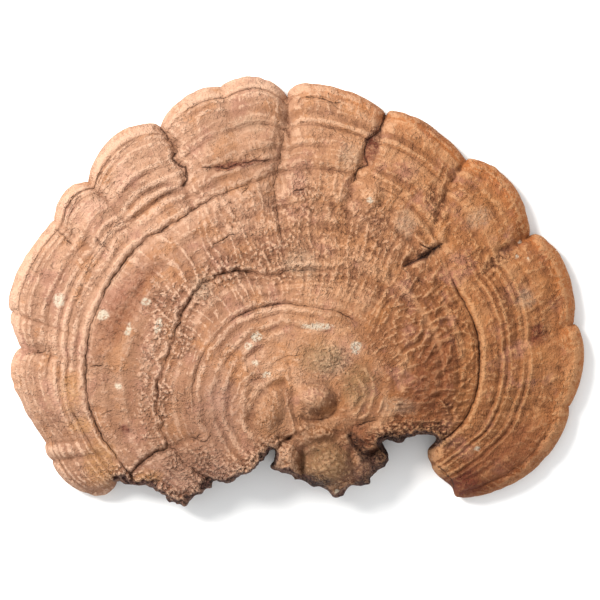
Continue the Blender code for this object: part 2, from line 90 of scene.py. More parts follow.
def smooth_step(low: float, high: float, value: Array) -> Array:
    """Rise smoothly from 0 at low to 1 at high."""
    t = np.clip((value - low) / (high - low), 0.0, 1.0)
    return t * t * (3.0 - 2.0 * t)


def smooth_table(x: Array, stations: Sequence[float], values: Sequence[float]) -> Array:
    """Read a table along one cubic curve through its values.

    Args:
        x: Where to read it.
        stations: Where the table has its values.
        values: The table's values.

    Returns:
        The value at each place.
    """
    stations = np.asarray(stations, float)
    values = np.asarray(values, float)
    slopes = np.gradient(values, stations)
    x = np.clip(x, stations[0], stations[-1])
    i = np.clip(np.searchsorted(stations, x) - 1, 0, len(stations) - 2)
    span = stations[i + 1] - stations[i]
    t = (x - stations[i]) / span
    start = (1.0 + 2.0 * t) * (1.0 - t) ** 2 * values[i] + t * (1.0 - t) ** 2 * span * slopes[i]
    end = t * t * (3.0 - 2.0 * t) * values[i + 1] - t * t * (1.0 - t) * span * slopes[i + 1]
    return start + end


def resample(points: Array, step: float) -> Array:
    """Points evenly spaced along a line, with both of its ends.

    Args:
        points: The line.
        step: The spacing to come near to.

    Returns:
        The new points.
    """
    points = np.asarray(points, float)
    lengths = np.hypot(*np.diff(points, axis=0).T)
    along = np.concatenate([[0.0], np.cumsum(lengths)])
    count = max(2, round(along[-1] / step) + 1)
    places = np.linspace(0.0, along[-1], count)
    return np.stack([np.interp(places, along, points[:, axis]) for axis in (0, 1)], 1)


def rounded(points: Sequence[Point], step: float) -> Array:
    """Points evenly spaced along a smooth curve through a few points."""
    points = np.asarray(points, float)
    lengths = np.hypot(*np.diff(points, axis=0).T)
    along = np.concatenate([[0.0], np.cumsum(lengths)])
    places = np.linspace(0.0, along[-1], max(2, round(along[-1] / step) + 1))
    return np.stack([smooth_table(places, along, points[:, axis]) for axis in (0, 1)], 1)


def inside(points: Array, loop: Array) -> Array:
    """Whether each point lies inside a closed loop.

    Args:
        points: The points to test.
        loop: The loop's corners.

    Returns:
        One truth value for each point.
    """
    hit = np.zeros(len(points), bool)
    for start, end in zip(loop, np.roll(loop, -1, axis=0)):
        rows = np.flatnonzero((start[1] > points[:, 1]) != (end[1] > points[:, 1]))
        if len(rows):
            reach = start[0] + (points[rows, 1] - start[1]) * (end[0] - start[0]) / (end[1] - start[1])
            hit[rows] ^= points[rows, 0] < reach
    return hit


def segment_distance(points: Array, start: Array, end: Array) -> tuple[Array, Array]:
    """Distance of points from straight segments.

    Args:
        points: The points.
        start: Where the segment starts, one for all points or one for each.
        end: Where it ends.

    Returns:
        The distance, and how far along the segment the nearest place is, from 0 to 1.
    """
    run = end - start
    square = np.maximum(np.sum(run * run, axis=-1), 1e-9)
    t = np.clip(np.sum((points - start) * run, axis=-1) / square, 0.0, 1.0)
    return np.hypot(*(points - start - t[:, None] * run).T), t


def tone(red: int, green: int, blue: int) -> Colour:
    """Linear colour of an 8-bit screen colour."""
    screen = [value / 255.0 for value in (red, green, blue)]
    linear = [v / 12.92 if v <= 0.04045 else ((v + 0.055) / 1.055) ** 2.4 for v in screen]
    return (*linear, 1.0)


class Grain:
    """Repeatable noise fields that shape the relief."""

    @staticmethod
    def corner(column: Array, row: Array, seed: int) -> Array:
        """A fixed value between -1 and 1 for each lattice corner."""
        mixed = np.sin(column * 127.1 + row * 311.7 + seed * 74.7) * 43758.5453
        return 2.0 * (mixed - np.floor(mixed)) - 1.0

    @classmethod
    def smooth(cls, x: Array, y: Array, seed: int) -> Array:
        """Smooth value noise of one unit wavelength.

        Args:
            x: First coordinate, in wavelengths.
            y: Second coordinate, in wavelengths.
            seed: Which field to read.

        Returns:
            Values between -1 and 1.
        """
        column, row = np.floor(x), np.floor(y)
        u, v = x - column, y - row
        u, v = u * u * (3.0 - 2.0 * u), v * v * (3.0 - 2.0 * v)
        low = cls.corner(column, row, seed) * (1.0 - u) + cls.corner(column + 1, row, seed) * u
        high = (cls.corner(column, row + 1, seed) * (1.0 - u)
                + cls.corner(column + 1, row + 1, seed) * u)
        return low * (1.0 - v) + high * v

    @classmethod
    def fractal(cls, x: Array, y: Array, seed: int, octaves: int = 3, gain: float = 0.5) -> Array:
        """Noise of several wavelengths, each turned against the last.

        Args:
            x: First coordinate, in wavelengths of the longest.
            y: Second coordinate.
            seed: Which field to read.
            octaves: How many wavelengths to add up.
            gain: Strength of each wavelength against the one before.

        Returns:
            Values mostly between -1 and 1.
        """
        total = np.zeros_like(x)
        strength = 1.0
        for octave in range(octaves):
            total += strength * cls.smooth(x, y, seed + 17 * octave)
            x, y = 1.62 * x + 1.20 * y + 5.3, 1.62 * y - 1.20 * x + 9.1
            strength *= gain
        return total

    @classmethod
    def ridged(cls, x: Array, y: Array, seed: int, octaves: int = 2) -> Array:
        """Noise with sharp crests: 1 on the crests, falling to 0 between them."""
        return 1.0 - np.clip(1.6 * np.abs(cls.fractal(x, y, seed, octaves)), 0.0, 1.0)

    @classmethod
    def cells(cls, x: Array, y: Array, seed: int) -> tuple[Array, Array]:
        """Distances to the nearest and second nearest of scattered cell middles.

        Args:
            x: First coordinate, in cell widths.
            y: Second coordinate.
            seed: Which scatter to use.

        Returns:
            The nearest distance and the second nearest.
        """
        column, row = np.floor(x), np.floor(y)
        first = np.full_like(x, 9.0)
        second = np.full_like(x, 9.0)
        for across in (-1.0, 0.0, 1.0):
            for up in (-1.0, 0.0, 1.0):
                middle_x = column + across + 0.5 + 0.42 * cls.corner(column + across, row + up, seed)
                middle_y = row + up + 0.5 + 0.42 * cls.corner(column + across, row + up, seed + 5)
                distance = np.hypot(x - middle_x, y - middle_y)
                second = np.minimum(second, np.maximum(first, distance))
                first = np.minimum(first, distance)
        return first, second


@dataclass(frozen=True)
class MarginLobes:
    """The lobed margin, from the left corner round to the hook.

    Attributes:
        lobes: Angle and radius where each lobe starts, how far it bulges past the chord to the
            next start, and where along the chord the bulge is highest.
        hook_tip: Angle and radius where the last lobe ends.
        squareness: Below 1 a lobe is fuller at its shoulders.
        inset: How far the crust's margin stays inside the solid's.
    """

    lobes: tuple[tuple[float, float, float, float], ...] = (
        (198.0, 122.5, 3.0, 0.45),
        (189.0, 136.0, 1.5, 0.50),
        (185.0, 138.0, 7.5, 0.68),
        (166.0, 155.0, 2.3, 0.60),
        (160.0, 165.0, 4.6, 0.32),
        (142.0, 169.0, 5.4, 0.55),
        (133.0, 170.0, 8.8, 0.55),
        (117.0, 172.0, 4.6, 0.50),
        (105.0, 180.0, 7.8, 0.58),
        (94.0, 168.0, 8.8, 0.30),
        (76.0, 164.0, 5.0, 0.30),
        (59.0, 158.0, 8.6, 0.45),
        (40.0, 149.0, 8.0, 0.35),
        (20.0, 146.0, 5.0, 0.40),
        (3.0, 135.0, 9.0, 0.50),
    )
    hook_tip: Point = (-28.0, 86.0)
    squareness: float = 0.7
    inset: float = 0.15

    def at(self, angle: Array) -> tuple[Array, Array]:
        """Radius of the margin at each angle, and the bulge from 0 to 1 of the lobe there.

        Args:
            angle: Angles in degrees.

        Returns:
            The radius and the bulge.
        """
        starts = [lobe[:2] for lobe in self.lobes] + [self.hook_tip]
        radius = np.full_like(angle, self.lobes[0][1])
        bulge = np.zeros_like(angle)
        for index, (start, first, crown, peak) in enumerate(self.lobes):
            end, last = starts[index + 1]
            t = (start - angle) / (start - end)
            here = t >= 0.0
            turned = np.clip(t, 0.0, 1.0) ** (math.log(0.5) / math.log(peak))
            shape = np.abs(np.sin(math.pi * turned)) ** self.squareness
            chord = first + (last - first) * np.minimum(t, 1.0)
            radius = np.where(here, chord + crown * shape, radius)
            bulge = np.where(here, shape, bulge)
        return radius - self.inset, bulge


@dataclass(frozen=True)
class GrowthRings:
    """The concentric growth zones of the fan.

    Attributes:
        margin: The lobed margin, which is the last ring.
        angles: Where the ring tables have their values.
        inner: Radius of level 1 at those angles.
        rope: Radius of level 2, the ragged rope-like ring.
        main: Radius of level 3, the main cracked ring.
        rear_angle: Where the angle jumps, behind the root.
    """

    margin: MarginLobes = field(default_factory=MarginLobes)
    angles: tuple[float, ...] = (
        -28, -15, 0, 15, 30, 45, 60, 75, 90, 105, 120, 135, 150, 165, 180, 195, 214)
    inner: tuple[float, ...] = (
        22, 29, 38, 46, 52, 55, 56, 58, 59, 62, 65, 65, 65, 63, 58, 54, 47)
    rope: tuple[float, ...] = (
        38, 48, 60, 70, 76, 80, 80, 80, 77, 77, 87, 87, 81, 80, 77, 70, 57)
    main: tuple[float, ...] = (
        55, 62, 79, 90, 99, 104, 119, 126, 130, 127, 124, 126, 124, 120, 111, 98, 82)
    rear_angle: float = -125.0

    def polar(self, points: Array) -> tuple[Array, Array]:
        """Angle and radius of each point about the growth centre."""
        angle = np.degrees(np.arctan2(points[:, 1], points[:, 0]))
        angle = np.where(angle < self.rear_angle, angle + 360.0, angle)
        return angle, np.hypot(points[:, 0], points[:, 1])

    def radii(self, angle: Array) -> list[Array]:
        """Radius of each whole growth level at each angle."""
        tables = [smooth_table(angle, self.angles, ring) for ring in (self.inner, self.rope, self.main)]
        return [np.zeros_like(angle), *tables, self.margin.at(angle)[0]]

    def radius_at(self, radii: list[Array], level: float) -> Array:
        """Radius of one growth level from the radii of the whole levels."""
        lower = min(int(level), len(radii) - 2)
        return radii[lower] + (radii[lower + 1] - radii[lower]) * (level - lower)

    def level_at(self, radii: list[Array], radius: Array) -> Array:
        """Growth level of each radius.

        Args:
            radii: Radius of each whole level there.
            radius: The radius to place between them.

        Returns:
            The growth level.
        """
        level = np.zeros_like(radius)
        for lower in range(len(radii) - 1):
            t = (radius - radii[lower]) / np.maximum(radii[lower + 1] - radii[lower], 1.0)
            level = np.where(t > 0.0, lower + t, level)
        return np.minimum(level, len(radii) - 1.0)

    def wander(self, angle: Array, radius: Array) -> Array:
        """How far the rings stray from their even course, in millimetres of radius."""
        turn = np.radians(angle) * 60.0
        slow = Grain.smooth(turn / 11.0, radius / 26.0, 31)
        quick = Grain.smooth(turn / 4.2, radius / 17.0, 32)
        return 0.85 * slow + 0.35 * quick

    def line(self, angle: Array, level: float) -> Array:
        """Points of one growth ring, straying as the crust's rings do."""
        radius = self.radius_at(self.radii(angle), level)
        radius = radius - self.wander(angle, radius) * (1.0 - smooth_step(3.75, 4.0, np.array(level)))
        return np.stack([radius * np.cos(np.radians(angle)), radius * np.sin(np.radians(angle))], 1)


@dataclass
class Plan:
    """Where a set of points lies on the fan.

    Attributes:
        points: The points in plan.
        rings: The growth rings they are placed by.
    """

    points: Array
    rings: GrowthRings

    def __post_init__(self) -> None:
        """Work out the growth coordinates of every point."""
        self.angle, self.radius = self.rings.polar(self.points)
        self.radii = self.rings.radii(self.angle)
        self.level = self.rings.level_at(self.radii, self.radius)
        fade = 1.0 - smooth_step(3.75, 4.0, self.level)
        self.grown = self.radius + self.rings.wander(self.angle, self.radius) * fade
        self.grown_level = self.rings.level_at(self.radii, self.grown)
        self.bulge = self.rings.margin.at(self.angle)[1]
        self.turn = np.radians(self.angle)

    def zone(self, levels: Point, angles: Point, soft: Point = (0.25, 12.0)) -> Array:
        """How much each point belongs to a stretch of the fan.

        Args:
            levels: The stretch's lowest and highest growth level.
            angles: Its lowest and highest angle.
            soft: How far its edges fade, in levels and in degrees.

        Returns:
            Weights from 0 to 1.
        """
        ring = (smooth_step(levels[0] - soft[0], levels[0] + soft[0], self.level)
                * (1.0 - smooth_step(levels[1] - soft[0], levels[1] + soft[0], self.level)))
        arc = (smooth_step(angles[0] - soft[1], angles[0] + soft[1], self.angle)
               * (1.0 - smooth_step(angles[1] - soft[1], angles[1] + soft[1], self.angle)))
        return ring * arc


@dataclass
class Seams:
    """The thin crack nearest to each point.

    The offset has a side, so that the line between two vertices stays sharp when the finish
    draws it.

    Attributes:
        offset: Distance from the crack, below 0 on one side of it.
        strength: How wide and dark the crack is, 0 where none is near.
        reach: How far from a crack its strength is kept.
    """

    offset: Array
    strength: Array
    reach: float = 1.5

    @classmethod
    def none(cls, count: int) -> "Seams":
        """No crack near any of the points."""
        return cls(np.full(count, 9.0), np.zeros(count))

    def add(self, rows: Array, offset: Array, strength: Array) -> None:
        """Take in one more crack where it is the nearest.

        Args:
            rows: Which points it is near.
            offset: Distance of those points from it, with a side.
            strength: Its strength there.
        """
        nearer = (np.abs(offset) < np.minimum(np.abs(self.offset[rows]), self.reach)) & (strength > 0.02)
        self.offset[rows] = np.where(nearer, offset, self.offset[rows])
        self.strength[rows] = np.where(nearer, strength, self.strength[rows])


@dataclass(frozen=True)
class Groove:
    """A groove between two growth zones.

    Attributes:
        level: Growth level that it follows.
        depth: Depth at its middle.
        width: How fast its sides rise.
        start: Angle where it starts.
        end: Angle where it ends.
        lip: How high its outer side stands up, as a share of the depth.
        crack: How dark and sharp the line at its bottom is, from 0 to 1.
        stray: How far its line strays over short stretches.
    """

    level: float
    depth: float
    width: float
    start: float
    end: float
    lip: float = 0.3
    crack: float = 0.0
    stray: float = 0.25

    def runs(self, plan: Plan, fade: float) -> Array:
        """How much of the groove is there at each angle, from 0 to 1."""
        return (smooth_step(self.start - fade, self.start + fade, plan.angle)
                * (1.0 - smooth_step(self.end - fade, self.end + fade, plan.angle)))

    def sink(self, plan: Plan, fade: float, seams: Seams) -> Array:
        """Depth of the groove at each point, with its crack noted.

        Args:
            plan: The points.
            fade: How many degrees its ends fade over.
            seams: Where the crack is noted.

        Returns:
            The depth in millimetres.
        """
        across = plan.grown - plan.rings.radius_at(plan.radii, self.level)
        reach = 2.0 + 2.0 * self.stray
        jitter = Grain.fractal(plan.points[:, 0] / reach, plan.points[:, 1] / reach, 41, 2)
        across = across + self.stray * jitter
        strength = 0.75 + 0.35 * Grain.smooth(plan.angle / 6.0,
                                              np.full_like(plan.angle, self.level * 7.0), 3)
        strength = strength * self.runs(plan, fade)
        sides = np.exp(-np.abs(across) / self.width)
        lip = np.exp(-((across - 1.6 * self.width) / (0.9 * self.width)) ** 2)
        core = np.exp(-(across / 0.7) ** 2)
        seams.add(np.arange(len(across)), across, strength * self.crack)
        return (self.depth * (sides - self.lip * lip) + 0.9 * self.crack * core) * strength


class Form(Enum):
    """What a stroke on the crust looks like."""

    FURROW = "furrow"
    CRACK = "crack"
    RIDGE = "ridge"


@dataclass(frozen=True)
class Stroke:
    """A furrow, crack or ridge that runs along a line over the crust.

    Attributes:
        form: What it looks like.
        size: Depth, or height of a ridge.
        half_width: Distance from its middle where it has mostly ended.
        points: The line, about the growth centre.
        taper: Length over which its far end fades out.
    """

    form: Form
    size: float
    half_width: float
    points: tuple[Point, ...]
    taper: float = 3.0

    def near(self, places: Array) -> Array:
        """Which points are close enough for the stroke to touch."""
        line = np.array(self.points)
        reach = 4.0 * self.half_width
        low, high = line.min(axis=0) - reach, line.max(axis=0) + reach
        return np.flatnonzero(np.all((places > low) & (places < high), axis=1))

    def profile(self, places: Array) -> tuple[Array, Array, Array]:
        """How the stroke runs past each point.

        Args:
            places: Points in plan, already near the stroke.

        Returns:
            Its depth from 0 to 1, how much it has not yet faded, and the distance from it with
            a side.
        """
        line = np.array(self.points)
        best = np.full(len(places), 1e9)
        along = np.zeros(len(places))
        side = np.ones(len(places))
        travelled = 0.0
        for start, end in zip(line, line[1:]):
            distance, t = segment_distance(places, start, end)
            run = end - start
            length = math.hypot(*run)
            nearer = distance < best
            turned = run[0] * (places[:, 1] - start[1]) - run[1] * (places[:, 0] - start[0])
            side = np.where(nearer, np.sign(turned), side)
            along = np.where(nearer, travelled + t * length, along)
            best = np.where(nearer, distance, best)
            travelled += length
        fade = smooth_step(0.0, self.taper, travelled - along)
        if self.form is not Form.FURROW:
            fade = fade * smooth_step(-0.2 * self.taper, 0.8 * self.taper, along)
        steepness = 1.0 if self.form is Form.CRACK else 2.0
        return fade * np.exp(-(best / self.half_width) ** steepness), fade, best * side


@dataclass(frozen=True)
class Spot:
    """A soft-edged patch on the crust.

    Attributes:
        centre: Its middle, about the growth centre.
        radii: Half its width and half its length.
        turn: How far it is turned, in degrees.
    """

    centre: Point
    radii: Point
    turn: float = 0.0

    def fullness(self, places: Array) -> Array:
        """One at the middle, 0 on the patch's edge and below 0 outside."""
        offset = places - np.array(self.centre)
        cos, sin = math.cos(math.radians(self.turn)), math.sin(math.radians(self.turn))
        across = (offset[:, 0] * cos + offset[:, 1] * sin) / self.radii[0]
        along = (offset[:, 1] * cos - offset[:, 0] * sin) / self.radii[1]
        return 1.0 - across ** 2 - along ** 2

    def weight(self, places: Array) -> Array:
        """Weight of the patch, from 1 at its middle to 0 well outside."""
        return smooth_step(-0.6, 0.9, self.fullness(places))


def spots_weight(spots: Sequence[Spot], places: Array) -> Array:
    """Highest weight of several patches at each point."""
    weight = np.zeros(len(places))
    for spot in spots:
        weight = np.maximum(weight, spot.weight(places))
    return weight


@dataclass(frozen=True)
class Knob:
    """A rounded knob or roll at the root.

    Attributes:
        spot: Its outline in plan.
        top: Height of its top.
        rim: Height where its sides end.
        softness: How gently its sides fall, 0.5 for a round one.
    """

    spot: Spot
    top: float
    rim: float
    softness: float = 0.8

    def height(self, places: Array) -> Array:
        """Height of the knob at each point, far below the fan where the knob isn't."""
        fullness = self.spot.fullness(places)
        dome = np.where(fullness > 0.0, np.abs(fullness) ** self.softness, 0.8 * fullness)
        return self.rim + (self.top - self.rim) * dome


@dataclass(frozen=True)
class RootKnobs:
    """The knobs and rolls that held the bracket to its trunk.

    Attributes:
        knobs: Every knob.
        fold: Line where the fan folds down to them.
        fold_fall: How far past the fold the fan ends.
        floor: Height of the ground between the knobs.
        blend: How softly the knobs merge.
        reach: How far the fan's side of the fold is drawn out.
    """

    knobs: tuple[Knob, ...] = (
        Knob(Spot((3.0, 12.0), (11.0, 9.8)), 47.0, 35.5, 0.9),
        Knob(Spot((-21.0, 4.0), (9.0, 15.5), -20), 44.6, 35.0, 0.9),
        Knob(Spot((3.5, -6.5), (15.5, 12.5), -12), 44.6, 32.0, 0.9),
        Knob(Spot((17.5, -9.0), (9.0, 8.0), -30), 40.5, 31.0),
        Knob(Spot((-11.5, -17.0), (9.5, 12.5), 8), 40.5, 27.0, 0.9),
        Knob(Spot((10.5, -21.0), (15.5, 15.0), 10), 46.6, 27.0, 1.1),
        Knob(Spot((23.0, -18.0), (8.5, 14.5), 20), 36.5, 25.0),
        Knob(Spot((27.5, -30.0), (7.0, 4.5)), 27.5, 21.0),
        Knob(Spot((36.0, -19.5), (6.5, 7.5)), 28.5, 21.0),
        Knob(Spot((12.5, -36.5), (4.5, 4.5)), 27.5, 21.0),
        Knob(Spot((-1.5, -29.0), (8.0, 4.5)), 28.0, 21.0),
        Knob(Spot((-15.5, -23.0), (6.0, 4.5)), 27.0, 21.0),
        Knob(Spot((31.5, 115.0), (6.0, 6.0)), 29.5, 25.5),
        Knob(Spot((23.5, 109.0), (4.5, 5.5), 20), 29.0, 25.5),
    )
    fold: tuple[Point, ...] = (
        (-20.3, -14.0), (-14.0, -8.5), (-5.0, -3.5), (8.0, -3.0), (18.5, -4.5), (22.0, -10.5),
        (27.5, -15.5), (37.0, -10.3))
    fold_fall: float = 3.6
    floor: float = 23.0
    blend: float = 1.4
    reach: float = 300.0

    def beyond_fold(self, places: Array) -> Array:
        """How far each point lies past the fold, 0 on the fan's side."""
        far = self.reach
        around = ((60.0, -60.0), (far, -far), (far, far), (-far, far), (-far, -far), (-40.0, -60.0))
        fan = inside(places, np.array(self.fold + around))
        best = np.full(len(places), 1e9)
        line = np.array(self.fold)
        for start, end in zip(line, line[1:]):
            best = np.minimum(best, segment_distance(places, start, end)[0])
        return np.where(fan, 0.0, best)

    def merge(self, fan: Array, places: Array) -> tuple[Array, Array]:
        """Join the knobs to the fan.

        Args:
            fan: Height of the fan at each point.
            places: The points.

        Returns:
            The joined height, and how much each point belongs to a knob.
        """
        fan = fan - (fan - self.floor) * smooth_step(0.0, self.fold_fall, self.beyond_fold(places))
        layers = np.stack([fan, *(knob.height(places) for knob in self.knobs)]) / self.blend
        highest = layers.max(axis=0)
        total = np.exp(layers - highest).sum(axis=0)
        share = 1.0 - np.exp(layers[0] - highest) / total
        return self.blend * (highest + np.log(total)), share


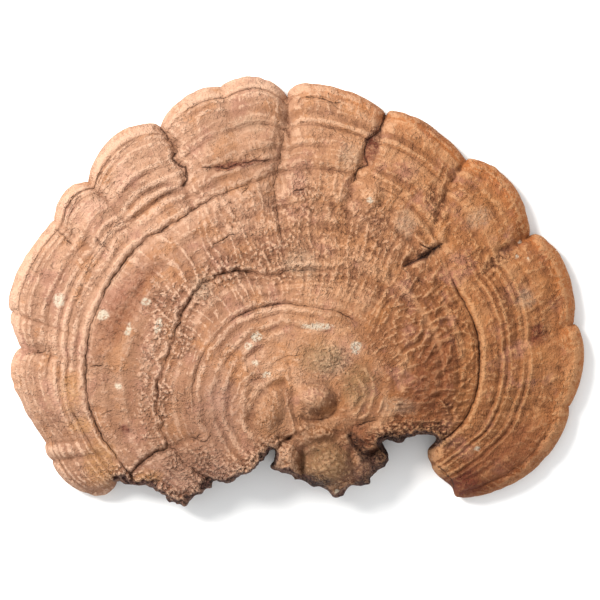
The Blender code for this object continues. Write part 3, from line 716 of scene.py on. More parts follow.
@dataclass(frozen=True)
class FanRelief:
    """The fan's upper face: its dome, lobes, grooves, cracks, wrinkles and crumbs.

    Attributes:
        dome_levels: Growth levels where the dome's height is given.
        dome_heights: Height of the dome at those levels.
        lobe_crown: How high a lobe stands over its notches.
        swell: Height and length of the slow swells.
        groove_fade: How many degrees a groove's ends fade over.
        grooves: Grooves between the growth zones.
        lines: Furrows, cracks and ridges on the fan.
        root_lines: Creases and ridges on the knobs.
        bumps: Patches that stand up or sink, with their heights.
        crumbs: Patches of crumbly crust.
    """

    dome_levels: tuple[float, ...] = (0.0, 0.5, 1.0, 1.5, 2.0, 2.5, 3.0, 3.5, 4.0)
    dome_heights: tuple[float, ...] = (40.0, 39.0, 37.0, 34.5, 31.5, 28.5, 25.0, 20.0, 14.0)
    lobe_crown: float = 2.4
    swell: Point = (1.3, 34.0)
    groove_fade: float = 9.0
    grooves: tuple[Groove, ...] = (
        Groove(0.53, 1.3, 2.2, 120, 215), Groove(0.70, 1.6, 1.9, 110, 215),
        Groove(0.81, 1.4, 1.6, 88, 215, crack=0.15), Groove(0.92, 1.2, 1.6, 80, 215, crack=0.1),
        Groove(0.62, 0.8, 2.2, 40, 110), Groove(1.00, 1.7, 1.8, 66, 165, crack=0.5),
        Groove(1.45, 0.7, 2.4, 120, 215), Groove(1.70, 0.8, 2.4, 60, 215),
        Groove(1.84, 1.0, 2.0, 70, 215), Groove(2.02, 2.4, 1.7, 80, 215, 0.5, 0.5, 1.3),
        Groove(2.00, 1.4, 2.4, -20, 70), Groove(2.42, 1.1, 2.6, -20, 215),
        Groove(2.66, 1.2, 2.6, -20, 215), Groove(2.86, 1.0, 2.2, -20, 70),
        Groove(3.00, 2.3, 1.6, 104, 215, 0.5, 0.8, 0.7), Groove(3.00, 1.4, 2.4, 46, 104, crack=0.1),
        Groove(3.00, 2.4, 1.5, -28, 46, 0.35, 0.55, 0.35), Groove(3.13, 1.2, 1.7, 95, 175, crack=0.15),
        Groove(3.26, 1.8, 1.8, 88, 205, 0.4, 0.3), Groove(3.36, 1.6, 1.6, 120, 205, 0.4, 0.15),
        Groove(3.52, 1.4, 1.9, 60, 195, 0.4, 0.15), Groove(3.68, 0.8, 2.2, 50, 198),
        Groove(3.20, 1.7, 1.2, -28, 44, 0.9, 0.15, 0.12), Groove(3.275, 1.3, 1.0, -28, 44, 0.9, stray=0.12),
        Groove(3.39, 1.1, 1.2, -28, 40, 0.7, stray=0.12), Groove(3.47, 1.6, 1.1, -28, 46, 0.9, 0.1, 0.12),
        Groove(3.62, 0.8, 1.6, -28, 50), Groove(3.87, 0.8, 1.0, 92, 198, 0.3, 0.4),
        Groove(3.79, 0.4, 0.8, 118, 198, 0.3, 0.2), Groove(3.72, 0.4, 0.8, 128, 176, 0.3, 0.15),
        Groove(3.88, 0.6, 1.0, -28, 92, 0.3, 0.1),
    )
    lines: tuple[Stroke, ...] = (
        Stroke(Form.FURROW, 1.2, 2.2, (
            (-115.5, 125.5), (-112.0, 119.5), (-101.5, 111.0), (-93.5, 99.0)), 22.0),
        Stroke(Form.FURROW, 2.3, 2.2, (
            (-79.0, 152.0), (-75.5, 150.0), (-69.0, 141.5), (-70.0, 137.0), (-65.0, 131.0),
            (-64.5, 119.5), (-62.5, 114.5), (-57.0, 97.0)), 22.0),
        Stroke(Form.FURROW, 3.2, 4.6, (
            (-11.5, 166.5), (-10.5, 158.5), (-14.0, 145.5), (-16.0, 135.0), (-18.0, 119.5),
            (-18.5, 114.5), (-16.5, 93.5)), 22.0),
        Stroke(Form.FURROW, 2.8, 3.0, (
            (40.0, 158.0), (38.5, 153.5), (32.0, 143.0), (29.0, 139.5), (25.0, 129.0),
            (22.0, 124.0), (21.0, 114.5), (20.0, 93.5)), 22.0),
        Stroke(Form.FURROW, 1.8, 2.0, (
            (80.5, 134.5), (75.5, 128.5), (72.5, 122.0), (67.5, 109.0), (62.5, 97.5),
            (54.5, 91.0)), 22.0),
        Stroke(Form.FURROW, 1.8, 2.0, (
            (114.0, 95.5), (106.5, 92.0), (99.0, 87.5), (94.5, 80.5), (84.0, 72.0)), 22.0),
        Stroke(Form.FURROW, 1.3, 3.0, ((137.0, 49.5), (130.0, 47.0), (122.0, 45.0)), 22.0),
        Stroke(Form.FURROW, 1.8, 2.4, (
            (71.0, 93.0), (66.0, 88.5), (60.0, 86.0), (52.0, 82.0), (44.0, 75.5),
            (36.5, 70.0)), 22.0),
        Stroke(Form.FURROW, 1.2, 2.2, ((-150.0, 36.5), (-135.0, 37.5), (-125.0, 36.0)), 22.0),
        Stroke(Form.FURROW, 1.8, 1.9, (
            (-92.5, -29.5), (-86.0, -21.0), (-78.0, -15.5), (-60.0, -8.5), (-49.5, -5.0)), 22.0),
        Stroke(Form.CRACK, 0.9, 0.6, ((-111.5, 95.5), (-103.0, 86.5))),
        Stroke(Form.CRACK, 0.9, 0.6, ((-133.0, 100.0), (-129.0, 96.5), (-122.5, 90.5))),
        Stroke(Form.CRACK, 1.7, 0.9, (
            (-78.0, 153.0), (-70.5, 141.5), (-68.5, 139.5), (-72.0, 136.0), (-68.5, 132.0),
            (-64.5, 131.0), (-63.5, 125.0), (-67.5, 120.5))),
        Stroke(Form.CRACK, 0.9, 0.6, ((-149.0, 34.5), (-142.5, 35.5), (-136.0, 35.5))),
        Stroke(Form.CRACK, 0.9, 0.5, ((-114.5, 28.0), (-105.0, 29.0))),
        Stroke(Form.CRACK, 0.8, 0.5, ((-109.0, 3.0), (-101.0, 5.5))),
        Stroke(Form.CRACK, 1.7, 0.8, (
            (-93.5, -29.0), (-88.5, -23.0), (-79.0, -15.5), (-72.0, -13.5))),
        Stroke(Form.CRACK, 0.8, 0.6, ((-60.5, -11.5), (-57.0, -7.5), (-54.0, -5.0))),
        Stroke(Form.CRACK, 0.8, 0.6, ((-62.5, -8.5), (-54.0, -10.5), (-49.0, -5.0))),
        Stroke(Form.CRACK, 0.7, 0.9, (
            (-117.5, 73.0), (-112.5, 83.0), (-105.0, 93.5), (-103.0, 100.0), (-95.5, 103.0))),
        Stroke(Form.FURROW, 1.6, 1.3, (
            (-93.5, 110.0), (-88.5, 116.0), (-80.0, 120.5), (-72.0, 122.5), (-66.0, 122.5))),
        Stroke(Form.FURROW, 1.6, 1.3, (
            (-94.5, 103.0), (-87.0, 108.0), (-80.0, 113.5), (-72.0, 117.5), (-65.0, 118.5))),
        Stroke(Form.CRACK, 0.8, 0.6, ((-129.0, 100.0), (-127.0, 109.0), (-122.5, 116.5), (-113.5, 120.5))),
        Stroke(Form.CRACK, 0.6, 0.6, ((-126.0, 100.0), (-124.0, 109.0), (-117.5, 118.5))),
        Stroke(Form.CRACK, 0.6, 0.6, ((-110.0, 120.5), (-107.0, 131.0), (-99.0, 138.5), (-88.5, 145.5))),
        Stroke(Form.CRACK, 1.0, 0.9, ((-15.5, 140.0), (-15.5, 131.0))),
        Stroke(Form.CRACK, 0.9, 0.6, (
            (-7.5, 163.5), (-5.0, 167.0), (1.0, 168.0), (9.5, 165.5), (17.5, 163.5))),
        Stroke(Form.CRACK, 1.5, 0.9, (
            (40.0, 159.5), (36.5, 150.0), (29.0, 144.5), (28.0, 138.5), (30.0, 132.0),
            (25.0, 130.0), (22.0, 122.5))),
        Stroke(Form.CRACK, 0.6, 1.0, (
            (-13.5, 149.0), (-15.5, 137.0), (-18.5, 121.0), (-17.0, 106.0), (-14.0, 90.0))),
        Stroke(Form.CRACK, 0.9, 0.6, ((-51.0, 90.5), (-41.5, 95.5), (-35.5, 96.5))),
        Stroke(Form.CRACK, 0.9, 0.6, ((-35.5, 116.5), (-31.0, 122.5))),
        Stroke(Form.CRACK, 1.0, 0.6, ((-9.5, 117.5), (-1.0, 121.5))),
        Stroke(Form.CRACK, 0.8, 0.5, ((-43.0, 122.5), (-42.5, 116.5))),
        Stroke(Form.CRACK, 1.1, 0.9, ((-57.0, 131.0), (-41.5, 131.0), (-36.5, 133.5), (-18.5, 135.0))),
        Stroke(Form.RIDGE, 0.7, 0.8, ((-38.5, 132.0), (-35.0, 139.5), (-33.0, 133.0))),
        Stroke(Form.RIDGE, 1.0, 2.2, ((-8.5, 155.0), (-5.0, 140.5))),
        Stroke(Form.RIDGE, 0.9, 0.9, ((30.0, 104.0), (28.0, 88.5), (26.0, 82.0))),
        Stroke(Form.CRACK, 1.7, 0.9, ((69.0, 91.5), (62.5, 87.5), (56.0, 83.0), (47.0, 79.0))),
        Stroke(Form.CRACK, 1.0, 0.7, ((55.0, 92.5), (63.5, 87.5))),
        Stroke(Form.CRACK, 0.7, 0.5, ((118.5, 31.5), (121.5, 31.5))),
        Stroke(Form.CRACK, 0.7, 0.5, ((122.5, 19.0), (127.0, 18.5))),
        Stroke(Form.RIDGE, 0.7, 0.9, ((65.5, 16.5), (77.0, 16.5))),
        Stroke(Form.CRACK, 0.5, 0.7, (
            (125.0, 0.0), (122.0, -8.0), (116.5, -16.0), (109.0, -23.0), (100.0, -29.0),
            (90.0, -33.5), (82.0, -36.0))),
        Stroke(Form.FURROW, 0.8, 1.6, (
            (125.0, 0.0), (122.0, -8.0), (116.5, -16.0), (109.0, -23.0), (100.0, -29.0),
            (90.0, -33.5), (82.0, -36.0)), 9.0),
        Stroke(Form.CRACK, 1.2, 1.2, ((65.0, -23.0), (70.0, -27.0), (74.0, -32.0), (75.0, -37.0))),
        Stroke(Form.CRACK, 0.5, 0.8, ((-21.0, 28.0), (-16.5, 31.5), (-10.5, 33.5), (-1.0, 34.0))),
        Stroke(Form.CRACK, 1.2, 0.9, ((35.5, 1.0), (29.0, 0.0), (23.0, -3.0))),
        Stroke(Form.RIDGE, 0.8, 0.9, ((37.5, 13.5), (34.5, 3.0))),
        Stroke(Form.RIDGE, 1.0, 1.3, ((28.0, 27.0), (32.5, 21.0), (32.5, 13.5), (29.5, 5.0), (24.0, 0.5))),
        Stroke(Form.RIDGE, 0.9, 1.1, ((24.5, 22.5), (28.0, 17.0), (27.5, 10.5), (24.0, 5.0), (20.5, 3.0))),
        Stroke(Form.RIDGE, 0.8, 1.0, ((21.0, 19.5), (23.8, 14.5), (22.6, 9.0), (19.0, 5.5))),
        Stroke(Form.RIDGE, 0.6, 0.8, ((-41.0, 1.0), (-40.0, 9.5), (-35.5, 20.0), (-28.0, 26.0))),
        Stroke(Form.FURROW, 2.6, 2.4, (
            (-13.5, 19.5), (-19.0, 18.0), (-25.0, 13.5), (-29.0, 7.0), (-31.0, 0.0),
            (-30.5, -7.0)), 9.0),
    )
    root_lines: tuple[Stroke, ...] = (
        Stroke(Form.CRACK, 1.2, 1.3, (
            (-12.5, 31.0), (-9.5, 26.0), (-9.0, 17.5), (-8.5, 5.0), (-6.0, -3.0))),
        Stroke(Form.CRACK, 2.4, 1.5, (
            (-6.0, 3.0), (-2.0, 1.0), (3.5, 0.5), (9.0, 2.0), (13.0, 6.0), (14.5, 11.0))),
        Stroke(Form.CRACK, 2.5, 1.8, ((-18.5, -7.5), (-13.5, -8.5), (-8.5, -8.5))),
        Stroke(Form.FURROW, 2.1, 1.8, (
            (-4.5, -24.0), (-5.5, -19.0), (-3.5, -14.0), (1.0, -11.0), (7.0, -9.5), (16.0, -10.5)), 9.0),
        Stroke(Form.CRACK, 3.2, 1.2, ((19.5, -6.5), (22.5, -11.5), (26.0, -14.5), (29.0, -18.5))),
        Stroke(Form.CRACK, 3.0, 1.4, ((31.5, -14.5), (29.5, -18.0), (31.0, -22.0))),
        Stroke(Form.RIDGE, 1.0, 0.8, ((-12.5, 13.5), (-7.5, -9.5))),
    )
    bumps: tuple[tuple[Spot, float], ...] = (
        (Spot((119.0, 44.7), (4.2, 4.2)), 1.3),
        (Spot((119.6, 34.8), (3.2, 3.2)), 0.7),
        (Spot((-12.5, 117.5), (3.0, 3.6)), 1.0),
        (Spot((67.5, 118.5), (2.6, 2.2)), 1.1),
        (Spot((73.5, 121.5), (2.8, 2.0), 30), 1.2),
    )
    crumbs: tuple[Spot, ...] = (
        Spot((-10.5, 86.0), (16.0, 10.0)), Spot((-42.0, 76.0), (15.0, 6.0), 20),
        Spot((-57.0, 68.0), (7.0, 9.0)), Spot((-67.0, 39.0), (5.5, 16.0), -25),
        Spot((-75.5, 10.5), (5.5, 14.0)), Spot((-57.0, -23.5), (24.0, 11.0), -15),
        Spot((11.5, 31.0), (10.5, 9.0)), Spot((47.0, -9.0), (16.0, 8.0)),
        Spot((0.0, 117.0), (8.0, 5.0)), Spot((65.0, 112.0), (6.5, 10.0)),
        Spot((96.0, 82.0), (11.0, 4.0), 35), Spot((33.0, 146.0), (4.0, 7.0), -20),
        Spot((33.0, -22.0), (9.0, 11.0)), Spot((-78.0, 62.0), (4.5, 9.0), -30),
    )

    def dome(self, plan: Plan) -> Array:
        """Height of the plain fan: its dome, lobe crowns and slow swells."""
        height = smooth_table(plan.level, self.dome_levels, self.dome_heights)
        height += self.lobe_crown * smooth_step(2.9, 3.8, plan.level) * (plan.bulge - 0.75)
        size, length = self.swell
        return height + size * Grain.smooth(plan.points[:, 0] / length, plan.points[:, 1] / length, 5)

    def ring_grooves(self, plan: Plan, seams: Seams) -> Array:
        """Depth of all the growth grooves, with their cracks noted in the seams."""
        return sum(groove.sink(plan, self.groove_fade, seams) for groove in self.grooves)

    def draw(self, strokes: Sequence[Stroke], plan: Plan, seams: Seams, ink: float) -> Array:
        """Depth of several strokes.

        Args:
            strokes: The strokes to draw.
            plan: The points.
            seams: Where their cracks are noted.
            ink: How dark the cracks are, from 0 to 1.

        Returns:
            The depth in millimetres.
        """
        x, y = plan.points[:, 0], plan.points[:, 1]
        ragged = plan.points + 0.55 * np.stack(
            [Grain.fractal(x / 4.0, y / 4.0, 61, 2), Grain.fractal(x / 4.0, y / 4.0, 67, 2)], 1)
        sunk = np.zeros(len(x))
        for stroke in strokes:
            rows = stroke.near(plan.points)
            depth, fade, offset = stroke.profile(ragged[rows])
            sunk[rows] += stroke.size * depth * (-1.0 if stroke.form is Form.RIDGE else 1.0)
            if stroke.form is Form.CRACK:
                seams.add(rows, offset, ink * fade * min(stroke.size, 1.5))
        return sunk

    def growth_lines(self, plan: Plan) -> Array:
        """Fine lines along the rings, and fainter ones straight out from the root."""
        outer = smooth_step(2.8, 3.2, plan.level)
        along = plan.grown_level * 17.0
        lines = (0.30 * Grain.smooth(along, plan.turn * 8.0, 71)
                 + 0.17 * Grain.smooth(along * 2.1, plan.turn * 13.0, 72))
        strands = (0.16 * Grain.smooth(plan.turn * 75.0, plan.radius / 11.0, 73)
                   + 0.12 * Grain.smooth(plan.turn * 40.0, plan.radius / 17.0, 74))
        fuzzy = plan.zone((3.0, 4.2), (55.0, 128.0))
        return lines * (0.75 + 0.35 * outer + 0.5 * fuzzy) + strands * smooth_step(0.6, 2.2, plan.level)

    def folds(self, plan: Plan) -> Array:
        """Radial folds of the middle zone."""
        x, y = plan.points[:, 0], plan.points[:, 1]
        sway = 0.5 * Grain.smooth(x / 12.0, y / 12.0, 81)
        crests = Grain.ridged(plan.turn * 21.0 + sway, plan.radius / 21.0, 82)
        return 1.0 * plan.zone((1.25, 3.05), (55.0, 150.0)) * (crests - 0.35)

    def crinkles(self, plan: Plan) -> Array:
        """The crinkled leather of the fan's right side."""
        x, y = plan.points[:, 0], plan.points[:, 1]
        sway = Grain.smooth(x / 11.0, y / 11.0, 91)
        crests = Grain.ridged(plan.turn * 15.0 + 0.9 * sway, plan.radius / 17.0 + 0.5 * sway, 92)
        small = Grain.ridged(plan.turn * 25.0 - 0.8 * sway, plan.radius / 8.0, 93)
        folds = 1.3 * (crests - 0.35) + 0.85 * (small - 0.35)
        young = Grain.ridged(plan.turn * 30.0 + 0.8 * sway, plan.radius / 11.0, 94)
        return (plan.zone((1.0, 2.95), (-30.0, 62.0)) * folds
                + 0.6 * plan.zone((3.05, 4.3), (-40.0, 120.0)) * (young - 0.35))

    def lumps(self, plan: Plan) -> Array:
        """Low lumps and pits all over the crust, stronger on the right lobes."""
        x, y = plan.points[:, 0], plan.points[:, 1]
        right = plan.zone((2.6, 4.2), (-40.0, 78.0))
        slow = Grain.fractal(x / 9.0, y / 9.0, 101, 2)
        quick = Grain.fractal(x / 3.0, y / 3.0, 103, 2)
        old = 1.0 - smooth_step(2.6, 3.1, plan.level)
        return (0.32 + 0.35 * right + 0.15 * old) * slow + (0.18 + 0.10 * right + 0.08 * old) * quick

    def crumble(self, plan: Plan, weight: Array) -> Array:
        """Crumbs and warts.

        Args:
            plan: The points.
            weight: How crumbly the crust is at each point.

        Returns:
            Height of the crumbs.
        """
        x, y = plan.points[:, 0], plan.points[:, 1]
        bend = 0.8 * Grain.smooth(x / 3.0, y / 3.0, 111)
        coarse, _ = Grain.cells(x / 2.9 + bend, y / 2.9 - bend, 112)
        fine, _ = Grain.cells(x / 1.7 - bend, y / 1.7 + bend, 113)
        grains = (1.25 * np.clip(1.0 - (coarse / 0.58) ** 2, 0.0, 1.0)
                  + 0.6 * np.clip(1.0 - (fine / 0.6) ** 2, 0.0, 1.0))
        patchy = smooth_step(-0.7, 0.5, Grain.fractal(x / 6.0, y / 6.0, 114, 2))
        return weight * patchy * (grains - 0.2)

    def crumbliness(self, plan: Plan, torn: Array) -> Array:
        """How crumbly the crust is: in its own patches, along the rope ring and at torn edges."""
        patches = spots_weight(self.crumbs, plan.points)
        rope = np.exp(-((plan.grown_level - 2.19) / 0.15) ** 2) * plan.zone((1.0, 3.0), (80.0, 215.0))
        middle = plan.zone((1.7, 2.9), (62.0, 118.0)) * 0.55
        return np.maximum.reduce([patches, 0.85 * rope, 1.8 * torn, middle])

    def raised(self, plan: Plan) -> Array:
        """Height of the single bumps."""
        height = np.zeros(len(plan.points))
        for spot, size in self.bumps:
            height += size * smooth_step(-0.2, 1.0, spot.fullness(plan.points))
        return height


@dataclass(frozen=True)
class EdgeShape:
    """Cross-section of a stretch of the outline.

    Attributes:
        above: Width over which the upper face rounds down to the edge.
        widest: Height of the widest line.
        below: Width over which the pore surface rounds up to it.
        inset_above: How far in from the outline the upper face starts.
        inset_below: How far in the pore surface starts.
        torn: 1 for a torn edge, 0 for a grown one.
    """

    above: float
    widest: float
    below: float
    inset_above: float
    inset_below: float
    torn: float

    def row(self) -> tuple[float, ...]:
        """The shape as one row of numbers."""
        return (self.above, self.widest, self.below, self.inset_above, self.inset_below, self.torn)


class Column(Enum):
    """Which column of an edge row holds what."""

    ABOVE = 0
    WIDEST = 1
    BELOW = 2
    INSET_ABOVE = 3
    INSET_BELOW = 4
    TORN = 5


@dataclass
class Outline:
    """The conk's outline in plan, with the shape of its edge all round.

    Attributes:
        rings: The growth rings, whose last one is the margin.
        step: Spacing of the outline's points.
        grown: Edge of the margin.
        broken: Edge of the torn sides.
        rooted: Edge of the knobs.
    """

    rings: GrowthRings
    step: float = 0.9
    grown: EdgeShape = EdgeShape(7.0, 5.5, 5.0, 2.2, 2.0, 0.0)
    broken: EdgeShape = EdgeShape(1.8, 15.0, 4.0, 0.7, 1.2, 1.0)
    rooted: EdgeShape = EdgeShape(2.6, 20.0, 4.0, 0.9, 1.2, 0.7)
    hook_side: tuple[Point, ...] = (
        (76.0, -40.0), (73.0, -34.5), (67.5, -30.0), (63.5, -25.0), (61.5, -20.0), (61.5, -15.5),
        (63.5, -12.0))
    right_break: tuple[Point, ...] = (
        (66.0, -9.0), (62.5, -6.2), (57.0, -7.3), (52.0, -8.5), (47.0, -12.0), (44.0, -12.0),
        (40.5, -9.5), (36.5, -10.5))
    root_edge: tuple[Point, ...] = (
        (39.0, -14.5), (41.5, -18.0), (39.0, -23.5), (33.0, -27.0), (31.5, -31.0), (32.0, -32.8),
        (26.0, -33.8), (22.0, -33.8), (18.5, -36.0), (16.5, -39.2), (13.5, -40.4), (10.5, -38.8),
        (8.0, -35.3), (4.0, -33.8), (1.0, -34.8), (-1.5, -32.3), (-5.0, -31.2), (-9.5, -28.6),
        (-13.0, -27.0), (-17.0, -26.0), (-21.0, -24.5), (-19.3, -21.8), (-17.8, -18.0),
        (-18.4, -14.2))
    left_break: tuple[Point, ...] = (
        (-20.3, -14.6), (-23.5, -19.2), (-27.0, -22.5), (-29.5, -26.0), (-35.0, -28.2),
        (-38.0, -30.2), (-42.5, -31.8), (-49.5, -31.2), (-51.0, -33.8), (-54.5, -36.5),
        (-59.0, -39.0), (-62.0, -42.5), (-65.0, -44.7), (-68.5, -43.3), (-74.0, -41.5),
        (-75.5, -39.0), (-80.5, -35.5), (-86.0, -34.3), (-92.5, -33.3), (-98.0, -32.2),
        (-100.3, -31.8))
    left_corner: tuple[Point, ...] = ((-101.3, -36.0), (-106.5, -39.0), (-112.0, -39.6))

    def __post_init__(self) -> None:
        """Lay out the outline, its inward directions and its edge rows."""
        margin = self.margin_line()
        stretches = (
            (self.grown, margin),
            (self.grown, rounded((tuple(margin[-1]),) + self.hook_side, self.step)[1:]),
            (self.broken, self.between(self.hook_side[-1], self.right_break)),
            (self.rooted, self.between(self.right_break[-1], self.root_edge)),
            (self.broken, self.between(self.root_edge[-1], self.left_break)),
            (self.grown, self.between(self.left_break[-1], self.left_corner + (tuple(margin[0]),))[:-1]),
        )
        self.loop = np.concatenate([line for _, line in stretches])
        rows = [np.tile(shape.row(), (len(line), 1)) for shape, line in stretches]
        self.rows = self.eased(np.concatenate(rows), 2)
        worn = (self.rows[:, Column.TORN.value] > 0.0)[:, None]
        self.loop = np.where(worn, self.eased(self.loop, 3), self.loop)
        self.normals = self.inward(self.eased(self.loop, 1))
        ahead = np.hypot(*(np.roll(self.loop, -1, axis=0) - self.loop).T)
        self.along = np.concatenate([[0.0], np.cumsum(ahead)[:-1]])
        torn = self.rows[:, Column.TORN.value]
        stray = self.ragged() * torn + self.wavy() * (1.0 - torn)
        self.loop = self.loop + self.normals * stray[:, None]

    def margin_line(self) -> Array:
        """The lobed margin from the left corner to the hook."""
        lobes = self.rings.margin.lobes
        starts = [lobe[0] for lobe in lobes] + [self.rings.margin.hook_tip[0]]
        line = []
        for first, last in zip(starts, starts[1:]):
            angle = np.linspace(first, last, 240)
            line.append(resample(self.rings.line(angle, 4.0), self.step)[:-1])
        return np.concatenate(line)

    def between(self, start: Sequence[float], points: Sequence[Point]) -> Array:
        """Points along straight stretches from the last point of the stretch before."""
        return resample(np.array((tuple(start),) + tuple(points)), self.step)[1:]

    def eased(self, values: Array, times: int) -> Array:
        """Average each row of a closed list with its neighbours, a few times over."""
        for _ in range(times):
            values = (np.roll(values, 1, axis=0) + 2.0 * values + np.roll(values, -1, axis=0)) / 4.0
        return values

    def inward(self, loop: Array) -> Array:
        """Unit directions that point to the inside of a clockwise loop, turning slowly."""
        run = np.roll(loop, -1, axis=0) - np.roll(loop, 1, axis=0)
        normal = np.stack([run[:, 1], -run[:, 0]], 1)
        normal = normal / np.hypot(*normal.T)[:, None]
        normal = self.eased(normal, 5)
        return normal / np.hypot(*normal.T)[:, None]

    def inset(self, column: Column) -> Array:
        """The outline drawn in by one of its insets."""
        return self.loop + self.normals * self.rows[:, column.value, None]

    def ragged(self) -> Array:
        """How far a torn edge strays in or out along the outline."""
        zero = np.zeros_like(self.along)
        return 0.6 * Grain.smooth(self.along / 3.4, zero, 121) + 0.45 * Grain.smooth(self.along / 1.9, zero, 122)

    def wavy(self) -> Array:
        """How far a grown edge is dented along the outline."""
        zero = np.zeros_like(self.along)
        return np.clip(0.5 * Grain.smooth(self.along / 9.0, zero, 123)
                       + 0.45 * Grain.smooth(self.along / 3.6, zero, 124), -0.1, 1.0)

    def nearest(self, places: Array) -> tuple[Array, Array]:
        """Distance of each point from the outline, and the edge row at the nearest place.

        Args:
            places: Points in plan.

        Returns:
            The distances and the edge rows.
        """
        tree = KDTree(len(self.loop))
        for index, (x, y) in enumerate(self.loop):
            tree.insert((x, y, 0.0), index)
        tree.balance()
        near = np.array([tree.find((x, y, 0.0))[1] for x, y in places])
        behind = (near - 1) % len(self.loop)
        ahead = (near + 1) % len(self.loop)
        before, t_before = segment_distance(places, self.loop[behind], self.loop[near])
        after, t_after = segment_distance(places, self.loop[near], self.loop[ahead])
        t_before, t_after = t_before[:, None], t_after[:, None]
        row_before = self.rows[behind] * (1.0 - t_before) + self.rows[near] * t_before
        row_after = self.rows[near] * (1.0 - t_after) + self.rows[ahead] * t_after
        row = np.where((before < after)[:, None], row_before, row_after)
        return np.minimum(before, after), row


@dataclass(frozen=True)
class RootCut:
    """The flat cut at the root, a plane across Y under the overhanging knobs.

    Attributes:
        plane: Y of the plane.
        height: Height of the cut.
        ends: X where the cut starts and ends.
        soft: Length of outline over which it fades at each end.
        foot: Depth of flat ground behind it.
    """

    plane: float = -28.0
    height: float = 18.0
    ends: Point = (-8.0, 26.5)
    soft: Point = (4.0, 8.0)
    foot: float = 6.0

    def weight(self, outline: Outline) -> tuple[Array, Array]:
        """How much each point of the outline stands over the cut.

        Args:
            outline: The outline, whose points run from high X to low X along the root.

        Returns:
            The weight of each point, and the X where it meets the cut.
        """
        x, y = outline.loop.T
        over = np.flatnonzero((x > self.ends[0]) & (x < self.ends[1]) & (y < self.plane))
        first, last = outline.along[over[0]], outline.along[over[-1]]
        before = np.clip((first - outline.along) / self.soft[1], 0.0, 1.0)
        after = np.clip((outline.along - last) / self.soft[0], 0.0, 1.0)
        share = np.clip((outline.along - first) / (last - first), 0.0, 1.0)
        return 1.0 - np.maximum(before, after), self.ends[1] + (self.ends[0] - self.ends[1]) * share


